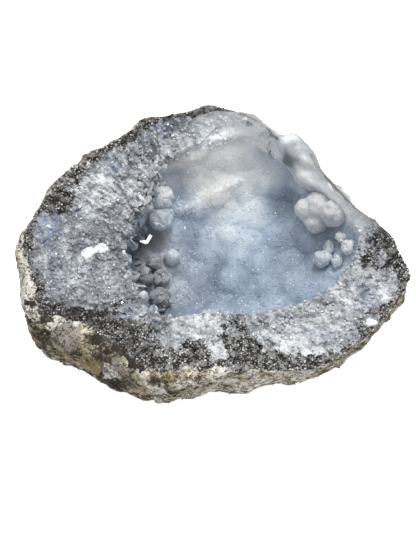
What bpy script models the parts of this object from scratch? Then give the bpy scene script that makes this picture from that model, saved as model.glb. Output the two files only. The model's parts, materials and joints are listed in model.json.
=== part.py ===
"""Half of a chalcedony geode, broken open across its hollow and lying on its rind with the hollow up.

Metres, +Z up. The origin is on the ground under the middle of the stone, +X runs along its length and
-Y towards its front. One fused stone carries rind, quartz wall and chalcedony lining; the knobs and
crystals that stand out from the lining are objects of their own.
"""

import math

import bmesh
import bpy
from mathutils import Vector, noise

MM = 0.001

# Driving sizes, in millimetres.
RING_POINTS = 96
FOOT_CENTRE = (-4.0, 1.0)
FOOT_RADII = (21.0, 16.0)
FOOT_WAVE = 1.5
WIDEST_SHARE = 0.84
MOUTH_CENTRE = (7.0, 2.0)
FLOOR_CENTRE = (5.0, -4.0, 10.0)
FUSED_GAP = 0.3

# How many rings of points each stretch of the surface takes.
LOWER_BELLY_RINGS = 9
UPPER_BELLY_RINGS = 5
BROKEN_FACE_RINGS = 7
HOLLOW_RINGS = 15

# Outer edge of the broken face: angle about the origin in degrees, distance from it, height.
RIM = [
    (0, 49.1, 35.5),
    (6, 46.0, 35.5),
    (12, 42.6, 35.0),
    (20, 39.6, 34.5),
    (33, 38.2, 34.5),
    (41, 38.1, 35.5),
    (48, 39.4, 38.0),
    (56, 40.0, 40.5),
    (62, 37.4, 38.5),
    (71, 39.7, 39.5),
    (86, 41.5, 40.5),
    (103, 41.7, 40.0),
    (115, 42.9, 39.5),
    (127, 42.6, 38.5),
    (139, 43.8, 38.5),
    (156, 47.0, 38.5),
    (165, 48.0, 37.5),
    (178, 52.0, 37.5),
    (190, 52.3, 34.5),
    (203, 51.9, 32.5),
    (208, 47.6, 31.0),
    (214, 43.0, 31.0),
    (224, 41.0, 32.0),
    (237, 41.7, 33.0),
    (248, 42.0, 33.5),
    (267, 39.7, 34.5),
    (288, 42.3, 34.0),
    (304, 47.4, 34.5),
    (316, 50.4, 35.0),
    (330, 52.0, 36.0),
    (342, 54.0, 36.5),
    (348, 54.3, 36.0),
    (355, 50.6, 35.5),
]

# Edge where the broken wall turns down into the hollow, about MOUTH_CENTRE.
MOUTH = [
    (6, 32.9, 29.0),
    (19, 31.9, 29.0),
    (33, 30.4, 29.5),
    (56, 28.3, 30.0),
    (68, 31.4, 31.0),
    (78, 35.0, 31.5),
    (88, 36.5, 32.0),
    (100, 35.0, 32.0),
    (127, 35.0, 31.0),
    (145, 32.0, 29.0),
    (157, 29.8, 28.5),
    (178, 32.2, 27.5),
    (203, 31.6, 28.0),
    (226, 32.4, 30.0),
    (236, 31.5, 33.0),
    (250, 25.6, 34.0),
    (268, 24.4, 33.5),
    (298, 24.1, 32.0),
    (315, 25.7, 31.0),
    (330, 27.7, 30.0),
    (344, 29.9, 29.5),
    (355, 31.9, 29.0),
]

# The rind below the rim, by angle: how far its belly swells past the rim, and how lean it is below.
BELLY = [
    (0, -0.5, 1.5),
    (35, 2.0, 1.3),
    (90, 2.5, 1.2),
    (140, 2.5, 1.1),
    (180, 2.2, 1.1),
    (196, 2.4, 1.15),
    (213, 10.0, 1.0),
    (235, 5.0, 1.2),
    (262, 2.6, 1.35),
    (285, -0.5, 1.6),
    (305, -2.6, 1.7),
    (325, -3.2, 1.8),
    (345, -2.0, 1.7),
]

# The wall of the hollow, by angle: how far it undercuts the mouth, and how gently it falls to the floor.
HOLLOW = [
    (0, 0.5, 0.8),
    (45, 1.0, 0.75),
    (90, 0.0, 1.0),
    (140, 1.0, 0.75),
    (185, 5.0, 0.5),
    (225, 4.0, 0.5),
    (270, 2.0, 0.55),
    (320, 1.0, 0.7),
]


# Swellings and hollows on the broken wall and the lining: place, reach, and height (a dent is negative).
LUMPS = [
    ((-9.3, 32.8, 27.7), 6.0, 3.0),
    ((-2.0, 33.4, 24.4), 5.0, 2.4),
    ((8.2, 21.3, 13.7), 10.0, 3.0),
    ((0.9, -0.1, 9.3), 8.0, 2.5),
    ((-5.9, 24.1, 16.9), 3.2, 2.6),
    ((0.0, 27.2, 17.6), 3.6, 2.8),
    ((5.9, 30.9, 18.9), 3.4, 2.4),
    ((20.4, 23.6, 20.6), 4.0, -3.0),
    ((-20.0, 10.0, 17.0), 7.0, -3.5),
    ((-3.2, -25.3, 33.8), 7.0, 2.0),
    ((-14.8, -27.5, 33.3), 3.5, -2.5),
    ((20.8, 29.9, 36.3), 4.5, 2.2),
    ((20.2, 29.4, 29.0), 3.0, -2.0),
]

# Where the noise is read for the X, Y and Z of an uneven offset, so that they differ.
NOISE_STARTS = ((64.75, 0.4, 7.2), (23.6, 102.65, 5.5), (61.3, 12.8, 145.05))

# A shell-shaped chip knocked out of the rind at the front left.
CHIP_PLACE = (-40.0, -29.0, 25.0)
CHIP_REACH = 7.0
CHIP_DEPTH = 2.6

# Point that the hollow's swellings grow towards, and point that the rind faces away from.
HOLLOW_HEART = (7.0, 4.0, 32.0)
STONE_HEART = (0.0, 0.0, 22.0)

# Balls of chalcedony that stand out from the lining: each knob is a list of (place, radius).
KNOBS = {
    "knob_upper_left": [((-16.0, 18.4, 19.7), 3.2)],
    "knob_top_left": [((-16.1, 22.6, 23.9), 2.6)],
    "glassy_knob_left": [((-20.7, 1.3, 14.4), 2.4)],
    "glassy_knob_middle": [((-15.9, 2.2, 12.6), 2.0)],
    "glassy_knob_low": [((-15.8, -4.7, 12.2), 2.4)],
    "lobed_knobs_right": [
        ((29.7, 19.3, 24.4), 3.4),
        ((33.7, 15.8, 25.7), 3.2),
        ((28.9, 16.5, 20.8), 2.8),
        ((25.7, 19.3, 22.4), 2.3),
    ],
    "twin_knobs_right": [((30.5, 6.2, 16.6), 2.3), ((32.5, 9.2, 17.6), 1.8)],
    "knob_right_low": [((34.8, 3.8, 18.4), 1.8)],
    "knob_right_edge": [((37.6, 5.6, 23.2), 1.9)],
}

# Quartz crystals: each is a list of (place of the base, lean from upright in X and Y, radius, length).
CRYSTALS = {
    "quartz_crystal_left": [((-12.8, 9.1, 12.6), (0.05, -0.55), 2.5, 3.8)],
    "quartz_slab_left": [((-18.2, 7.2, 12.4), (0.3, -0.5), 2.0, 4.6)],
    "quartz_cluster_right": [
        ((36.4, 10.8, 20.0), (-0.1, -0.5), 1.1, 3.6),
        ((36.4, 10.8, 20.2), (-0.9, -0.2), 1.0, 3.4),
        ((36.4, 10.8, 20.2), (-0.4, -1.1), 0.9, 3.2),
    ],
}
CRYSTAL_SIDES = 6
CRYSTAL_POINT_SHARE = 0.3

# Finish of each kind of stone: base colour, roughness, metallic.
FINISHES = {
    "stone": ((0.42, 0.42, 0.41), 0.6, 0.0),
    "chalcedony": ((0.60, 0.66, 0.70), 0.35, 0.0),
    "quartz": ((0.66, 0.69, 0.71), 0.15, 0.0),
}


def closed_curve(rows, angle):
    """Values at an angle on a smooth closed curve through rows of (angle, value, ...)."""
    angle %= 360
    count = len(rows)
    after = next((i for i, row in enumerate(rows) if row[0] > angle), 0)
    knots = [rows[(after + shift) % count] for shift in (-2, -1, 0, 1)]
    start = knots[1][0]
    gap = (knots[2][0] - start) % 360
    t = ((angle - start) % 360) / gap
    widths = [(knots[i + 1][0] - knots[i][0]) % 360 for i in range(3)]
    values = []
    for column in range(1, len(rows[0])):
        p = [knot[column] for knot in knots]
        slope_in = (p[2] - p[0]) / (widths[0] + widths[1]) * gap
        slope_out = (p[3] - p[1]) / (widths[1] + widths[2]) * gap
        values.append(
            (2 * t**3 - 3 * t**2 + 1) * p[1]
            + (t**3 - 2 * t**2 + t) * slope_in
            + (3 * t**2 - 2 * t**3) * p[2]
            + (t**3 - t**2) * slope_out
        )
    return values


def polar(centre, angle, radius, height):
    turn = math.radians(angle)
    return Vector((centre[0] + radius * math.cos(turn), centre[1] + radius * math.sin(turn), height))


def ring(point_at):
    return [point_at(360 * i / RING_POINTS) for i in range(RING_POINTS)]


def rim_point(angle):
    radius, height = closed_curve(RIM, angle)
    return polar((0, 0), angle, radius, height)


def mouth_point(angle):
    radius, height = closed_curve(MOUTH, angle)
    return polar(MOUTH_CENTRE, angle, radius, height)


def foot_point(angle):
    """The flattened patch that the stone rests on, a wavy ellipse."""
    turn = math.radians(angle)
    wave = FOOT_WAVE * math.sin(3 * turn + 0.6)
    x = FOOT_CENTRE[0] + (FOOT_RADII[0] + wave) * math.cos(turn)
    y = FOOT_CENTRE[1] + (FOOT_RADII[1] + wave) * math.sin(turn)
    return Vector((x, y, 0))


def widest_point(angle):
    radius, height = closed_curve(RIM, angle)
    swell, _ = closed_curve(BELLY, angle)
    return polar((0, 0), angle, radius + swell, height * WIDEST_SHARE)


def rough(point, size, depth, seed=0.0):
    """A smooth uneven offset along each axis, for lumps of about that size."""
    where = point / size + Vector((seed, seed, seed))
    return Vector([noise.noise(where + Vector(start)) for start in NOISE_STARTS]) * depth


def swollen(point, lumps, direction):
    """The point moved along a direction by every lump whose reach it is in."""
    rise = 0
    for place, reach, height in lumps:
        distance = (point - Vector(place)).length
        rise += height * math.exp(-((distance / reach) ** 2))
    return point + direction * rise


def outwards(point):
    return (point - Vector(STONE_HEART)).normalized()


def into_hollow(point):
    return (Vector(HOLLOW_HEART) - point).normalized()


def belly_rings():
    """The rind from its flat foot, round the belly and up to the rim."""
    rings = [ring(foot_point)]
    for step in range(1, LOWER_BELLY_RINGS + 1):
        turn = math.pi / 2 * step / LOWER_BELLY_RINGS

        def lower(angle):
            foot, widest = foot_point(angle), widest_point(angle)
            _, lean = closed_curve(BELLY, angle)
            point = foot.lerp(widest, math.sin(turn) ** lean)
            point.z = widest.z * (1 - math.cos(turn))
            point = swollen(point, [(CHIP_PLACE, CHIP_REACH, -CHIP_DEPTH)], outwards(point))
            return point + rough(point, 16, 2.0 * math.sin(turn))

        rings.append(ring(lower))
    for step in range(1, UPPER_BELLY_RINGS):
        turn = math.pi / 2 * step / UPPER_BELLY_RINGS

        def upper(angle):
            widest, rim = widest_point(angle), rim_point(angle)
            point = rim.lerp(widest, math.cos(turn))
            point.z = widest.z + (rim.z - widest.z) * math.sin(turn)
            return point + rough(point, 16, 2.0 * math.cos(turn))

        rings.append(ring(upper))
    return rings


def broken_face_rings():
    """From the rim across the broken wall to the mouth of the hollow, a little uneven."""
    rings = [ring(rim_point)]
    for step in range(1, BROKEN_FACE_RINGS):
        share = step / BROKEN_FACE_RINGS

        def across(angle):
            point = rim_point(angle).lerp(mouth_point(angle), share)
            point = swollen(point, LUMPS, Vector((0, 0, 1)))
            return point + rough(point, 9, 1.3 * math.sin(math.pi * share), 7.0)

        rings.append(ring(across))
    return rings


def lined(point, share):
    """A point of the hollow's wall with its lumps, and a share of the wall's roughness."""
    point = swollen(point, LUMPS, into_hollow(point))
    return point + rough(point, 11, 2.2 * share, 3.0)


def hollow_rings():
    """From the mouth down the undercut wall of the hollow to its floor."""
    floor = Vector(FLOOR_CENTRE)
    rings = [ring(mouth_point)]
    for step in range(1, HOLLOW_RINGS):
        turn = math.pi / 2 * step / HOLLOW_RINGS

        def down(angle):
            mouth = mouth_point(angle)
            undercut, gentleness = closed_curve(HOLLOW, angle)
            point = floor.lerp(mouth, math.cos(turn) ** gentleness)
            point.z = mouth.z + (floor.z - mouth.z) * math.sin(turn)
            point += polar((0, 0), angle, undercut * math.sin(2 * turn), 0)
            return lined(point, math.sin(turn) ** 0.5)

        rings.append(ring(down))
    return rings


def skin(name, rings, first_cap, last_cap):
    """One closed mesh object over a list of rings, closed by a fan at each end."""
    mesh = bmesh.new()
    loops = [[mesh.verts.new(point * MM) for point in points] for points in rings]
    for low, high in zip(loops, loops[1:]):
        for i in range(RING_POINTS):
            j = (i + 1) % RING_POINTS
            mesh.faces.new((low[i], low[j], high[j], high[i]))
    for loop, tip in ((loops[0][::-1], first_cap), (loops[-1], last_cap)):
        centre = mesh.verts.new(Vector(tip) * MM)
        for i in range(RING_POINTS):
            mesh.faces.new((loop[i], loop[(i + 1) % RING_POINTS], centre))
    mesh.normal_update()
    return mesh_object(name, mesh, True)


def material(name):
    colour, roughness, metallic = FINISHES[name]
    made = bpy.data.materials.new(name)
    made.use_nodes = True
    shader = made.node_tree.nodes["Principled BSDF"]
    shader.inputs["Base Color"].default_value = (*colour, 1)
    shader.inputs["Roughness"].default_value = roughness
    shader.inputs["Metallic"].default_value = metallic
    return made


def mesh_object(name, mesh, smooth):
    data = bpy.data.meshes.new(name)
    mesh.to_mesh(data)
    mesh.free()
    if smooth:
        data.shade_smooth()
    return bpy.data.objects.new(name, data)


def ball(name, place, radius):
    """A slightly lumpy ball of chalcedony."""
    mesh = bmesh.new()
    bmesh.ops.create_icosphere(mesh, subdivisions=2, radius=radius * MM)
    centre = Vector(place) * MM
    for vertex in mesh.verts:
        vertex.co = centre + vertex.co
        vertex.co += rough(vertex.co, 2.2 * MM, 0.12 * radius * MM, 11.0)
    return mesh_object(name, mesh, True)


def crystal(name, place, lean, radius, length):
    """A six-sided quartz prism that ends in a six-faced point, leaning in X and Y by its slopes."""
    body = length * (1 - CRYSTAL_POINT_SHARE)
    mesh = bmesh.new()
    bmesh.ops.create_cone(
        mesh,
        cap_ends=True,
        segments=CRYSTAL_SIDES,
        radius1=radius * MM,
        radius2=radius * MM,
        depth=body * MM,
    )
    end = max(mesh.faces, key=lambda face: face.calc_center_median().z)
    bmesh.ops.poke(mesh, faces=[end], offset=length * CRYSTAL_POINT_SHARE * MM)
    axis = Vector((*lean, 1)).normalized()
    turn = axis.to_track_quat("Z", "Y")
    for vertex in mesh.verts:
        vertex.co = Vector(place) * MM + turn @ (vertex.co + Vector((0, 0, body / 2 * MM)))
    return mesh_object(name, mesh, False)


def joined(name, pieces, helpers):
    """One object from overlapping pieces: the first one, with the rest united to it."""
    first, *rest = pieces
    first.name = name
    for piece in rest:
        as_helper(piece, helpers)
        union = first.modifiers.new("join", "BOOLEAN")
        union.operation = "UNION"
        union.solver = "EXACT"
        union.object = piece
    return first


def as_helper(obj, helpers):
    helpers.objects.link(obj)
    obj.hide_render = True
    obj.display_type = "WIRE"


def main():
    for obj in list(bpy.data.objects):
        bpy.data.objects.remove(obj, do_unlink=True)
    geode = bpy.data.collections.new("chalcedony_geode")
    helpers = bpy.data.collections.new("cutters")
    for collection in (geode, helpers):
        bpy.context.scene.collection.children.link(collection)
    materials = {name: material(name) for name in FINISHES}

    rings = belly_rings() + broken_face_rings() + hollow_rings()
    stone = skin("geode_half", rings, (*FOOT_CENTRE, 0), lined(Vector(FLOOR_CENTRE), 1))
    bed = stone.copy()
    bed.data = stone.data.copy()
    bed.name = "stone_with_gap"
    grown = bed.modifiers.new("gap", "DISPLACE")
    grown.mid_level = 0
    grown.strength = FUSED_GAP * MM
    as_helper(bed, helpers)

    growths = []
    for name, balls in KNOBS.items():
        pieces = [ball(f"{name}_{i}", *values) for i, values in enumerate(balls)]
        growths.append((joined(name, pieces, helpers), "chalcedony"))
    for name, prisms in CRYSTALS.items():
        pieces = [crystal(f"{name}_{i}", *values) for i, values in enumerate(prisms)]
        growths.append((joined(name, pieces, helpers), "quartz"))
    for growth, _ in growths:
        cut = growth.modifiers.new("sits on the stone", "BOOLEAN")
        cut.operation = "DIFFERENCE"
        cut.solver = "EXACT"
        cut.object = bed

    for obj, finish in [(stone, "stone"), *growths]:
        geode.objects.link(obj)
        obj.data.materials.append(materials[finish])
    centre(stone, [obj for collection in (geode, helpers) for obj in collection.objects])


def centre(stone, objects):
    """Moves everything so that the origin is on the ground under the middle of the stone."""
    across = [vertex.co.x for vertex in stone.data.vertices]
    along = [vertex.co.y for vertex in stone.data.vertices]
    middle = Vector(((min(across) + max(across)) / 2, (min(along) + max(along)) / 2, 0))
    for obj in objects:
        obj.location -= middle


main()
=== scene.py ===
# %% [markdown]
# # Half of a chalcedony geode
#
# A geode is a bubble in rock that crystals have lined from the outside in. This one is broken open, so the
# broken edge shows its history: a weathered rind, a dark speckled skin under it, a wall of coarse grey
# quartz, and a pale blue crust of chalcedony dusted with tiny quartz points. The script builds those looks
# around the solid model, which gives the size, the place and the outline of everything.

# %% Load the solid model
import json
import math

import bmesh
import bpy
import numpy as np
from mathutils import Matrix, Vector, noise
from mathutils.bvhtree import BVHTree
from mathutils.kdtree import KDTree


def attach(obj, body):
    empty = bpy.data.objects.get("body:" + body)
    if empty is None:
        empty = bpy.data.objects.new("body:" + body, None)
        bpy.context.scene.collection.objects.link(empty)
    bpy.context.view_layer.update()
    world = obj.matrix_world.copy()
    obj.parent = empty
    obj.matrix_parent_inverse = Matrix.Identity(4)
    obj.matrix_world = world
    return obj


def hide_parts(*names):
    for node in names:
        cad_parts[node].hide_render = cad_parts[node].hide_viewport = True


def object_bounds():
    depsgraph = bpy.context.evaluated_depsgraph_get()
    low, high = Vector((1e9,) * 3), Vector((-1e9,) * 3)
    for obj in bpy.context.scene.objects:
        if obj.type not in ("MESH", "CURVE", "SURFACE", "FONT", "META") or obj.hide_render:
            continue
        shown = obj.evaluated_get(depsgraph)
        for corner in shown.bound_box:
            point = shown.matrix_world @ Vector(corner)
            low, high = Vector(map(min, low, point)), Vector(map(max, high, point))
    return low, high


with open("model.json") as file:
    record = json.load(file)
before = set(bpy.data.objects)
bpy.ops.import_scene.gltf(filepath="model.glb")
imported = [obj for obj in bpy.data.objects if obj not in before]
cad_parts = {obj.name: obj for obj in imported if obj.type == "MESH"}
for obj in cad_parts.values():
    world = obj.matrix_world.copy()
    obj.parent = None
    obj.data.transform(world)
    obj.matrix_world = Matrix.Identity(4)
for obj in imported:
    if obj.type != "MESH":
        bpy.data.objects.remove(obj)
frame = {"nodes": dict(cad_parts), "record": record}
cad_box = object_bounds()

MM = 0.001
low, high = cad_box
print("solid model:", [round(side / MM, 1) for side in high - low], "mm, nodes:", len(frame["nodes"]))

# %% [markdown]
# ## Camera
#
# The geode lies on a white table and is looked down on at 57 degrees, close enough for its front edge to
# look larger than its back. A long lens at arm's length keeps the outline natural. The camera turns to its
# aim with a quaternion that points its -Z axis at the stone.

# %% Camera
CAMERA_ELEVATION = math.radians(57)
CAMERA_DISTANCE = 0.42
CAMERA_AIM = Vector((0, 0, 0.026))
CAMERA_LENS = 97.6
CAMERA_SHIFT = (-0.0084, -0.0351)

view_direction = Vector((0, math.cos(CAMERA_ELEVATION), -math.sin(CAMERA_ELEVATION)))
camera = bpy.data.objects.new("camera", bpy.data.cameras.new("camera"))
camera.location = CAMERA_AIM - view_direction * CAMERA_DISTANCE
camera.rotation_mode = "QUATERNION"
camera.rotation_quaternion = view_direction.to_track_quat("-Z", "Y")
camera.data.lens = CAMERA_LENS
camera.data.shift_x, camera.data.shift_y = CAMERA_SHIFT
camera.data.clip_start = 0.01
bpy.context.scene.collection.objects.link(camera)
bpy.context.scene.camera = camera
print("camera", [round(value, 3) for value in camera.location])

# %% [markdown]
# ## Light
#
# Sugary crystals need two kinds of light. A wide soft light shows the colours and hardly any shadow. A
# small bright one is what a crystal face throws back as a glint, so a nearly point-like sun is added: it
# is weak in all, but bright where it is seen in a facet.

# %% Light
SKY_ABOVE, SKY_ROUND = 0.9, 0.39
BACKDROP_STRENGTH = 1.0
SOFT_POWER = 1.38
SUN_STRENGTH = 1.1
SUN_WIDTH = math.radians(5)

world = bpy.data.worlds.new("white_room")
world.use_nodes = True
bpy.context.scene.world = world


def light_the_room(tree):
    """White walls: they light the stone mostly from overhead, and look plain white."""
    lit = tree.nodes["Background"]
    lit.inputs["Color"].default_value = (1, 1, 1, 1)
    way = tree.nodes.new("ShaderNodeTexCoord")
    height = tree.nodes.new("ShaderNodeSeparateXYZ")
    tree.links.new(way.outputs["Generated"], height.inputs[0])
    strength = tree.nodes.new("ShaderNodeMapRange")
    tree.links.new(height.outputs["Z"], strength.inputs["Value"])
    strength.inputs["To Min"].default_value = SKY_ROUND
    strength.inputs["To Max"].default_value = SKY_ABOVE
    tree.links.new(strength.outputs["Result"], lit.inputs["Strength"])
    seen = tree.nodes.new("ShaderNodeBackground")
    seen.inputs["Color"].default_value = (1, 1, 1, 1)
    seen.inputs["Strength"].default_value = BACKDROP_STRENGTH
    choice = tree.nodes.new("ShaderNodeMixShader")
    rays = tree.nodes.new("ShaderNodeLightPath")
    tree.links.new(rays.outputs["Is Camera Ray"], choice.inputs[0])
    tree.links.new(lit.outputs[0], choice.inputs[1])
    tree.links.new(seen.outputs[0], choice.inputs[2])
    tree.links.new(choice.outputs[0], tree.nodes["World Output"].inputs["Surface"])


def aimed_light(name, kind, place, target, **settings):
    light = bpy.data.lights.new(name, kind)
    for key, value in settings.items():
        setattr(light, key, value)
    made = bpy.data.objects.new(name, light)
    made.location = place
    made.rotation_mode = "QUATERNION"
    made.rotation_quaternion = (Vector(target) - Vector(place)).to_track_quat("-Z", "Y")
    bpy.context.scene.collection.objects.link(made)
    return made


light_the_room(world.node_tree)
STONE_MIDDLE = (0, 0, 0.02)
aimed_light("soft_top", "AREA", (0.08, 0.16, 0.6), STONE_MIDDLE, energy=SOFT_POWER, shape="DISK", size=0.3)
aimed_light("glint_sun", "SUN", (0.06, 0.3, 0.6), STONE_MIDDLE, energy=SUN_STRENGTH, angle=SUN_WIDTH)
bpy.context.scene.view_settings.view_transform = "Standard"

# %% [markdown]
# ## Helpers for node trees
#
# A node tree in a script reads best when each node is one call: its kind, its name, and what goes into
# each input, which is either a plain value or another node's output.

# %% Node helpers


def feed(tree, made, feeds):
    """Each input of a node is either given a value or linked to an output."""
    for key, value in (feeds or {}).items():
        if isinstance(value, bpy.types.NodeSocket):
            tree.links.new(value, made.inputs[key])
        else:
            made.inputs[key].default_value = value


def node(tree, kind, name, feeds=None, **settings):
    """One node, with its settings and what goes into it."""
    made = tree.nodes.new(kind)
    made.name = made.label = name
    for key, value in settings.items():
        setattr(made, key, value)
    feed(tree, made, feeds)
    return made


def sum_of(tree, name, kind, a, b, clamp=False):
    """A Math node on two values, by its operation's name."""
    return node(tree, "ShaderNodeMath", name, {0: a, 1: b}, operation=kind, use_clamp=clamp).outputs[0]


def vector_of(tree, name, kind, feeds):
    """A Vector Math node, by its operation's name."""
    return node(tree, "ShaderNodeVectorMath", name, feeds, operation=kind).outputs[0]


def ranged(tree, name, value, low, high):
    """A value from 0 to 1 spread from low to high."""
    feeds = {"Value": value, "To Min": low, "To Max": high}
    return node(tree, "ShaderNodeMapRange", name, feeds).outputs["Result"]


def eased(tree, name, value, start, end):
    """0 below start, 1 above end, and a smooth step between."""
    feeds = {"Value": value, "From Min": start, "From Max": end}
    return node(tree, "ShaderNodeMapRange", name, feeds, interpolation_type="SMOOTHSTEP").outputs["Result"]


def blended(tree, name, share, first, second):
    """Two colours mixed by a share."""
    made = node(tree, "ShaderNodeMix", name, data_type="RGBA", clamp_result=True)
    feed(tree, made, {0: share, 6: first, 7: second})
    return made.outputs[2]


def new_group(name, inputs, outputs):
    """A shader node group with named sockets: each is (name, kind, default)."""
    tree = bpy.data.node_groups.new(name, "ShaderNodeTree")
    for socket_name, kind, default in inputs:
        socket = tree.interface.new_socket(socket_name, in_out="INPUT", socket_type=kind)
        if default is not None:
            socket.default_value = default
    for socket_name, kind in outputs:
        tree.interface.new_socket(socket_name, in_out="OUTPUT", socket_type=kind)
    return tree, node(tree, "NodeGroupInput", "in").outputs, node(tree, "NodeGroupOutput", "out").inputs


def use_group(tree, group, name, feeds=None):
    made = tree.nodes.new("ShaderNodeGroup")
    made.node_tree = group
    made.name = made.label = name
    feed(tree, made, feeds)
    return made.outputs


def paint(red, green, blue):
    """A colour given in the 0 to 255 steps of a paint chart, as the linear values that a shader takes."""
    shares = [value / 255 for value in (red, green, blue)]
    return (*[((v + 0.055) / 1.055) ** 2.4 if v > 0.04 else v / 12.92 for v in shares], 1.0)


# %% [markdown]
# ## The floor
#
# A plain white table. It is bright enough to read as white all round the stone.

# %% Floor
FLOOR_SIZE = 3.0
TABLE_GLOW = 0.8

floor_mesh = bmesh.new()
bmesh.ops.create_grid(floor_mesh, x_segments=1, y_segments=1, size=FLOOR_SIZE / 2)
floor_data = bpy.data.meshes.new("floor")
floor_mesh.to_mesh(floor_data)
floor_mesh.free()
floor = bpy.data.objects.new("floor", floor_data)
bpy.context.scene.collection.objects.link(floor)
floor_material = bpy.data.materials.new("white_table")
floor_material.use_nodes = True
floor_shader = floor_material.node_tree.nodes["Principled BSDF"]
floor_shader.inputs["Base Color"].default_value = paint(232, 232, 232)
floor_shader.inputs["Roughness"].default_value = 0.9
floor_shader.inputs["Specular IOR Level"].default_value = 0.0
floor_shader.inputs["Emission Color"].default_value = (1, 1, 1, 1)
seen_directly = node(floor_material.node_tree, "ShaderNodeLightPath", "rays").outputs["Is Camera Ray"]
glow = sum_of(floor_material.node_tree, "glow", "MULTIPLY", seen_directly, TABLE_GLOW)
floor_material.node_tree.links.new(glow, floor_shader.inputs["Emission Strength"])
floor_data.materials.append(floor_material)

# %% [markdown]
# ## The two edges of the broken face
#
# Everything about the finish depends on where a spot lies between two lines: the rim, where the rind meets
# the broken wall, and the mouth, where the wall turns down into the hollow. Both are smooth closed curves
# through a few points, each an angle, a radius and a height in millimetres, as in the solid model.

# %% Rim and mouth
ORIGIN_SHIFT = Vector((1.07, -0.24, 0))
MOUTH_CENTRE = Vector((7.0, 2.0, 0))
RIM = [
    (0, 49.1, 35.5), (6, 46.0, 35.5), (12, 42.6, 35.0), (20, 39.6, 34.5), (33, 38.2, 34.5),
    (41, 38.1, 35.5), (48, 39.4, 38.0), (56, 40.0, 40.5), (62, 37.4, 38.5), (71, 39.7, 39.5),
    (86, 41.5, 40.5), (103, 41.7, 40.0), (115, 42.9, 39.5), (127, 42.6, 38.5), (139, 43.8, 38.5),
    (156, 47.0, 38.5), (165, 48.0, 37.5), (178, 52.0, 37.5), (190, 52.3, 34.5), (203, 51.9, 32.5),
    (208, 47.6, 31.0), (214, 43.0, 31.0), (224, 41.0, 32.0), (237, 41.7, 33.0), (248, 42.0, 33.5),
    (267, 39.7, 34.5), (288, 42.3, 34.0), (304, 47.4, 34.5), (316, 50.4, 35.0), (330, 52.0, 36.0),
    (342, 54.0, 36.5), (348, 54.3, 36.0), (355, 50.6, 35.5),
]
MOUTH = [
    (6, 32.9, 29.0), (19, 31.9, 29.0), (33, 30.4, 29.5), (56, 28.3, 30.0), (68, 31.4, 31.0),
    (78, 35.0, 31.5), (88, 36.5, 32.0), (100, 35.0, 32.0), (127, 35.0, 31.0), (145, 32.0, 29.0),
    (157, 29.8, 28.5), (178, 32.2, 27.5), (203, 31.6, 28.0), (226, 32.4, 30.0), (236, 31.5, 33.0),
    (250, 25.6, 34.0), (268, 24.4, 33.5), (298, 24.1, 32.0), (315, 25.7, 31.0), (330, 27.7, 30.0),
    (344, 29.9, 29.5), (355, 31.9, 29.0),
]
LINE_STEPS = 720


def closed_curve(rows, angle):
    """Values at an angle on a smooth closed curve through rows of (angle, value, ...)."""
    angle %= 360
    count = len(rows)
    after = next((i for i, row in enumerate(rows) if row[0] > angle), 0)
    knots = [rows[(after + shift) % count] for shift in (-2, -1, 0, 1)]
    start = knots[1][0]
    gap = (knots[2][0] - start) % 360
    t = ((angle - start) % 360) / gap
    widths = [(knots[i + 1][0] - knots[i][0]) % 360 for i in range(3)]
    values = []
    for column in range(1, len(rows[0])):
        p = [knot[column] for knot in knots]
        slope_in = (p[2] - p[0]) / (widths[0] + widths[1]) * gap
        slope_out = (p[3] - p[1]) / (widths[1] + widths[2]) * gap
        values.append(
            (2 * t**3 - 3 * t**2 + 1) * p[1]
            + (t**3 - 2 * t**2 + t) * slope_in
            + (3 * t**2 - 2 * t**3) * p[2]
            + (t**3 - t**2) * slope_out
        )
    return values


def table_of(rows):
    """The curve read at every half degree, as an array."""
    return np.array([closed_curve(rows, 360 * i / LINE_STEPS) for i in range(LINE_STEPS)])


def line_through(table, centre):
    """The curve as points in space, in millimetres."""
    turns = np.arange(LINE_STEPS) * 2 * np.pi / LINE_STEPS
    plan = np.stack([np.cos(turns), np.sin(turns)], 1) * table[:, :1]
    return np.concatenate([plan + np.array(centre)[:2], table[:, 1:2]], 1)


rim_table = table_of(RIM)
mouth_table = table_of(MOUTH)
rim_centre = ORIGIN_SHIFT
mouth_centre = MOUTH_CENTRE + ORIGIN_SHIFT
rim_line = line_through(rim_table, rim_centre)
mouth_line = line_through(mouth_table, mouth_centre)
print("rim", rim_line.min(0).round(1), "to", rim_line.max(0).round(1), "mm")

# %% [markdown]
# ## A fine skin for the stone
#
# The solid stone is a coarse loft. A copy is merged, smoothed by subdivision and wrapped in an even net of
# small faces by a voxel remesh, so that grains and facets can be pressed into it anywhere.

# %% Fine skin
SKIN_PITCH = 0.38 * MM


def merged_copy(name, source):
    """A new object with the source's mesh, its loose triangles merged."""
    mesh = bmesh.new()
    mesh.from_mesh(source.data)
    bmesh.ops.remove_doubles(mesh, verts=mesh.verts, dist=0.002 * MM)
    data = bpy.data.meshes.new(name)
    mesh.to_mesh(data)
    mesh.free()
    made = bpy.data.objects.new(name, data)
    bpy.context.scene.collection.objects.link(made)
    return made


def apply_modifiers(obj):
    """Gives the object the mesh that its modifiers make, and takes the modifiers away."""
    graph = bpy.context.evaluated_depsgraph_get()
    old = obj.data
    obj.data = bpy.data.meshes.new_from_object(obj.evaluated_get(graph), depsgraph=graph)
    obj.modifiers.clear()
    obj.data.name = obj.name
    bpy.data.meshes.remove(old)


skin = merged_copy("skin", frame["nodes"]["geode_half"])
smoothing = skin.modifiers.new("smooth", "SUBSURF")
smoothing.levels = smoothing.render_levels = 2
remesh = skin.modifiers.new("remesh", "REMESH")
remesh.mode = "VOXEL"
remesh.voxel_size = SKIN_PITCH
apply_modifiers(skin)
print("fine skin:", len(skin.data.vertices), "points")

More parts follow.
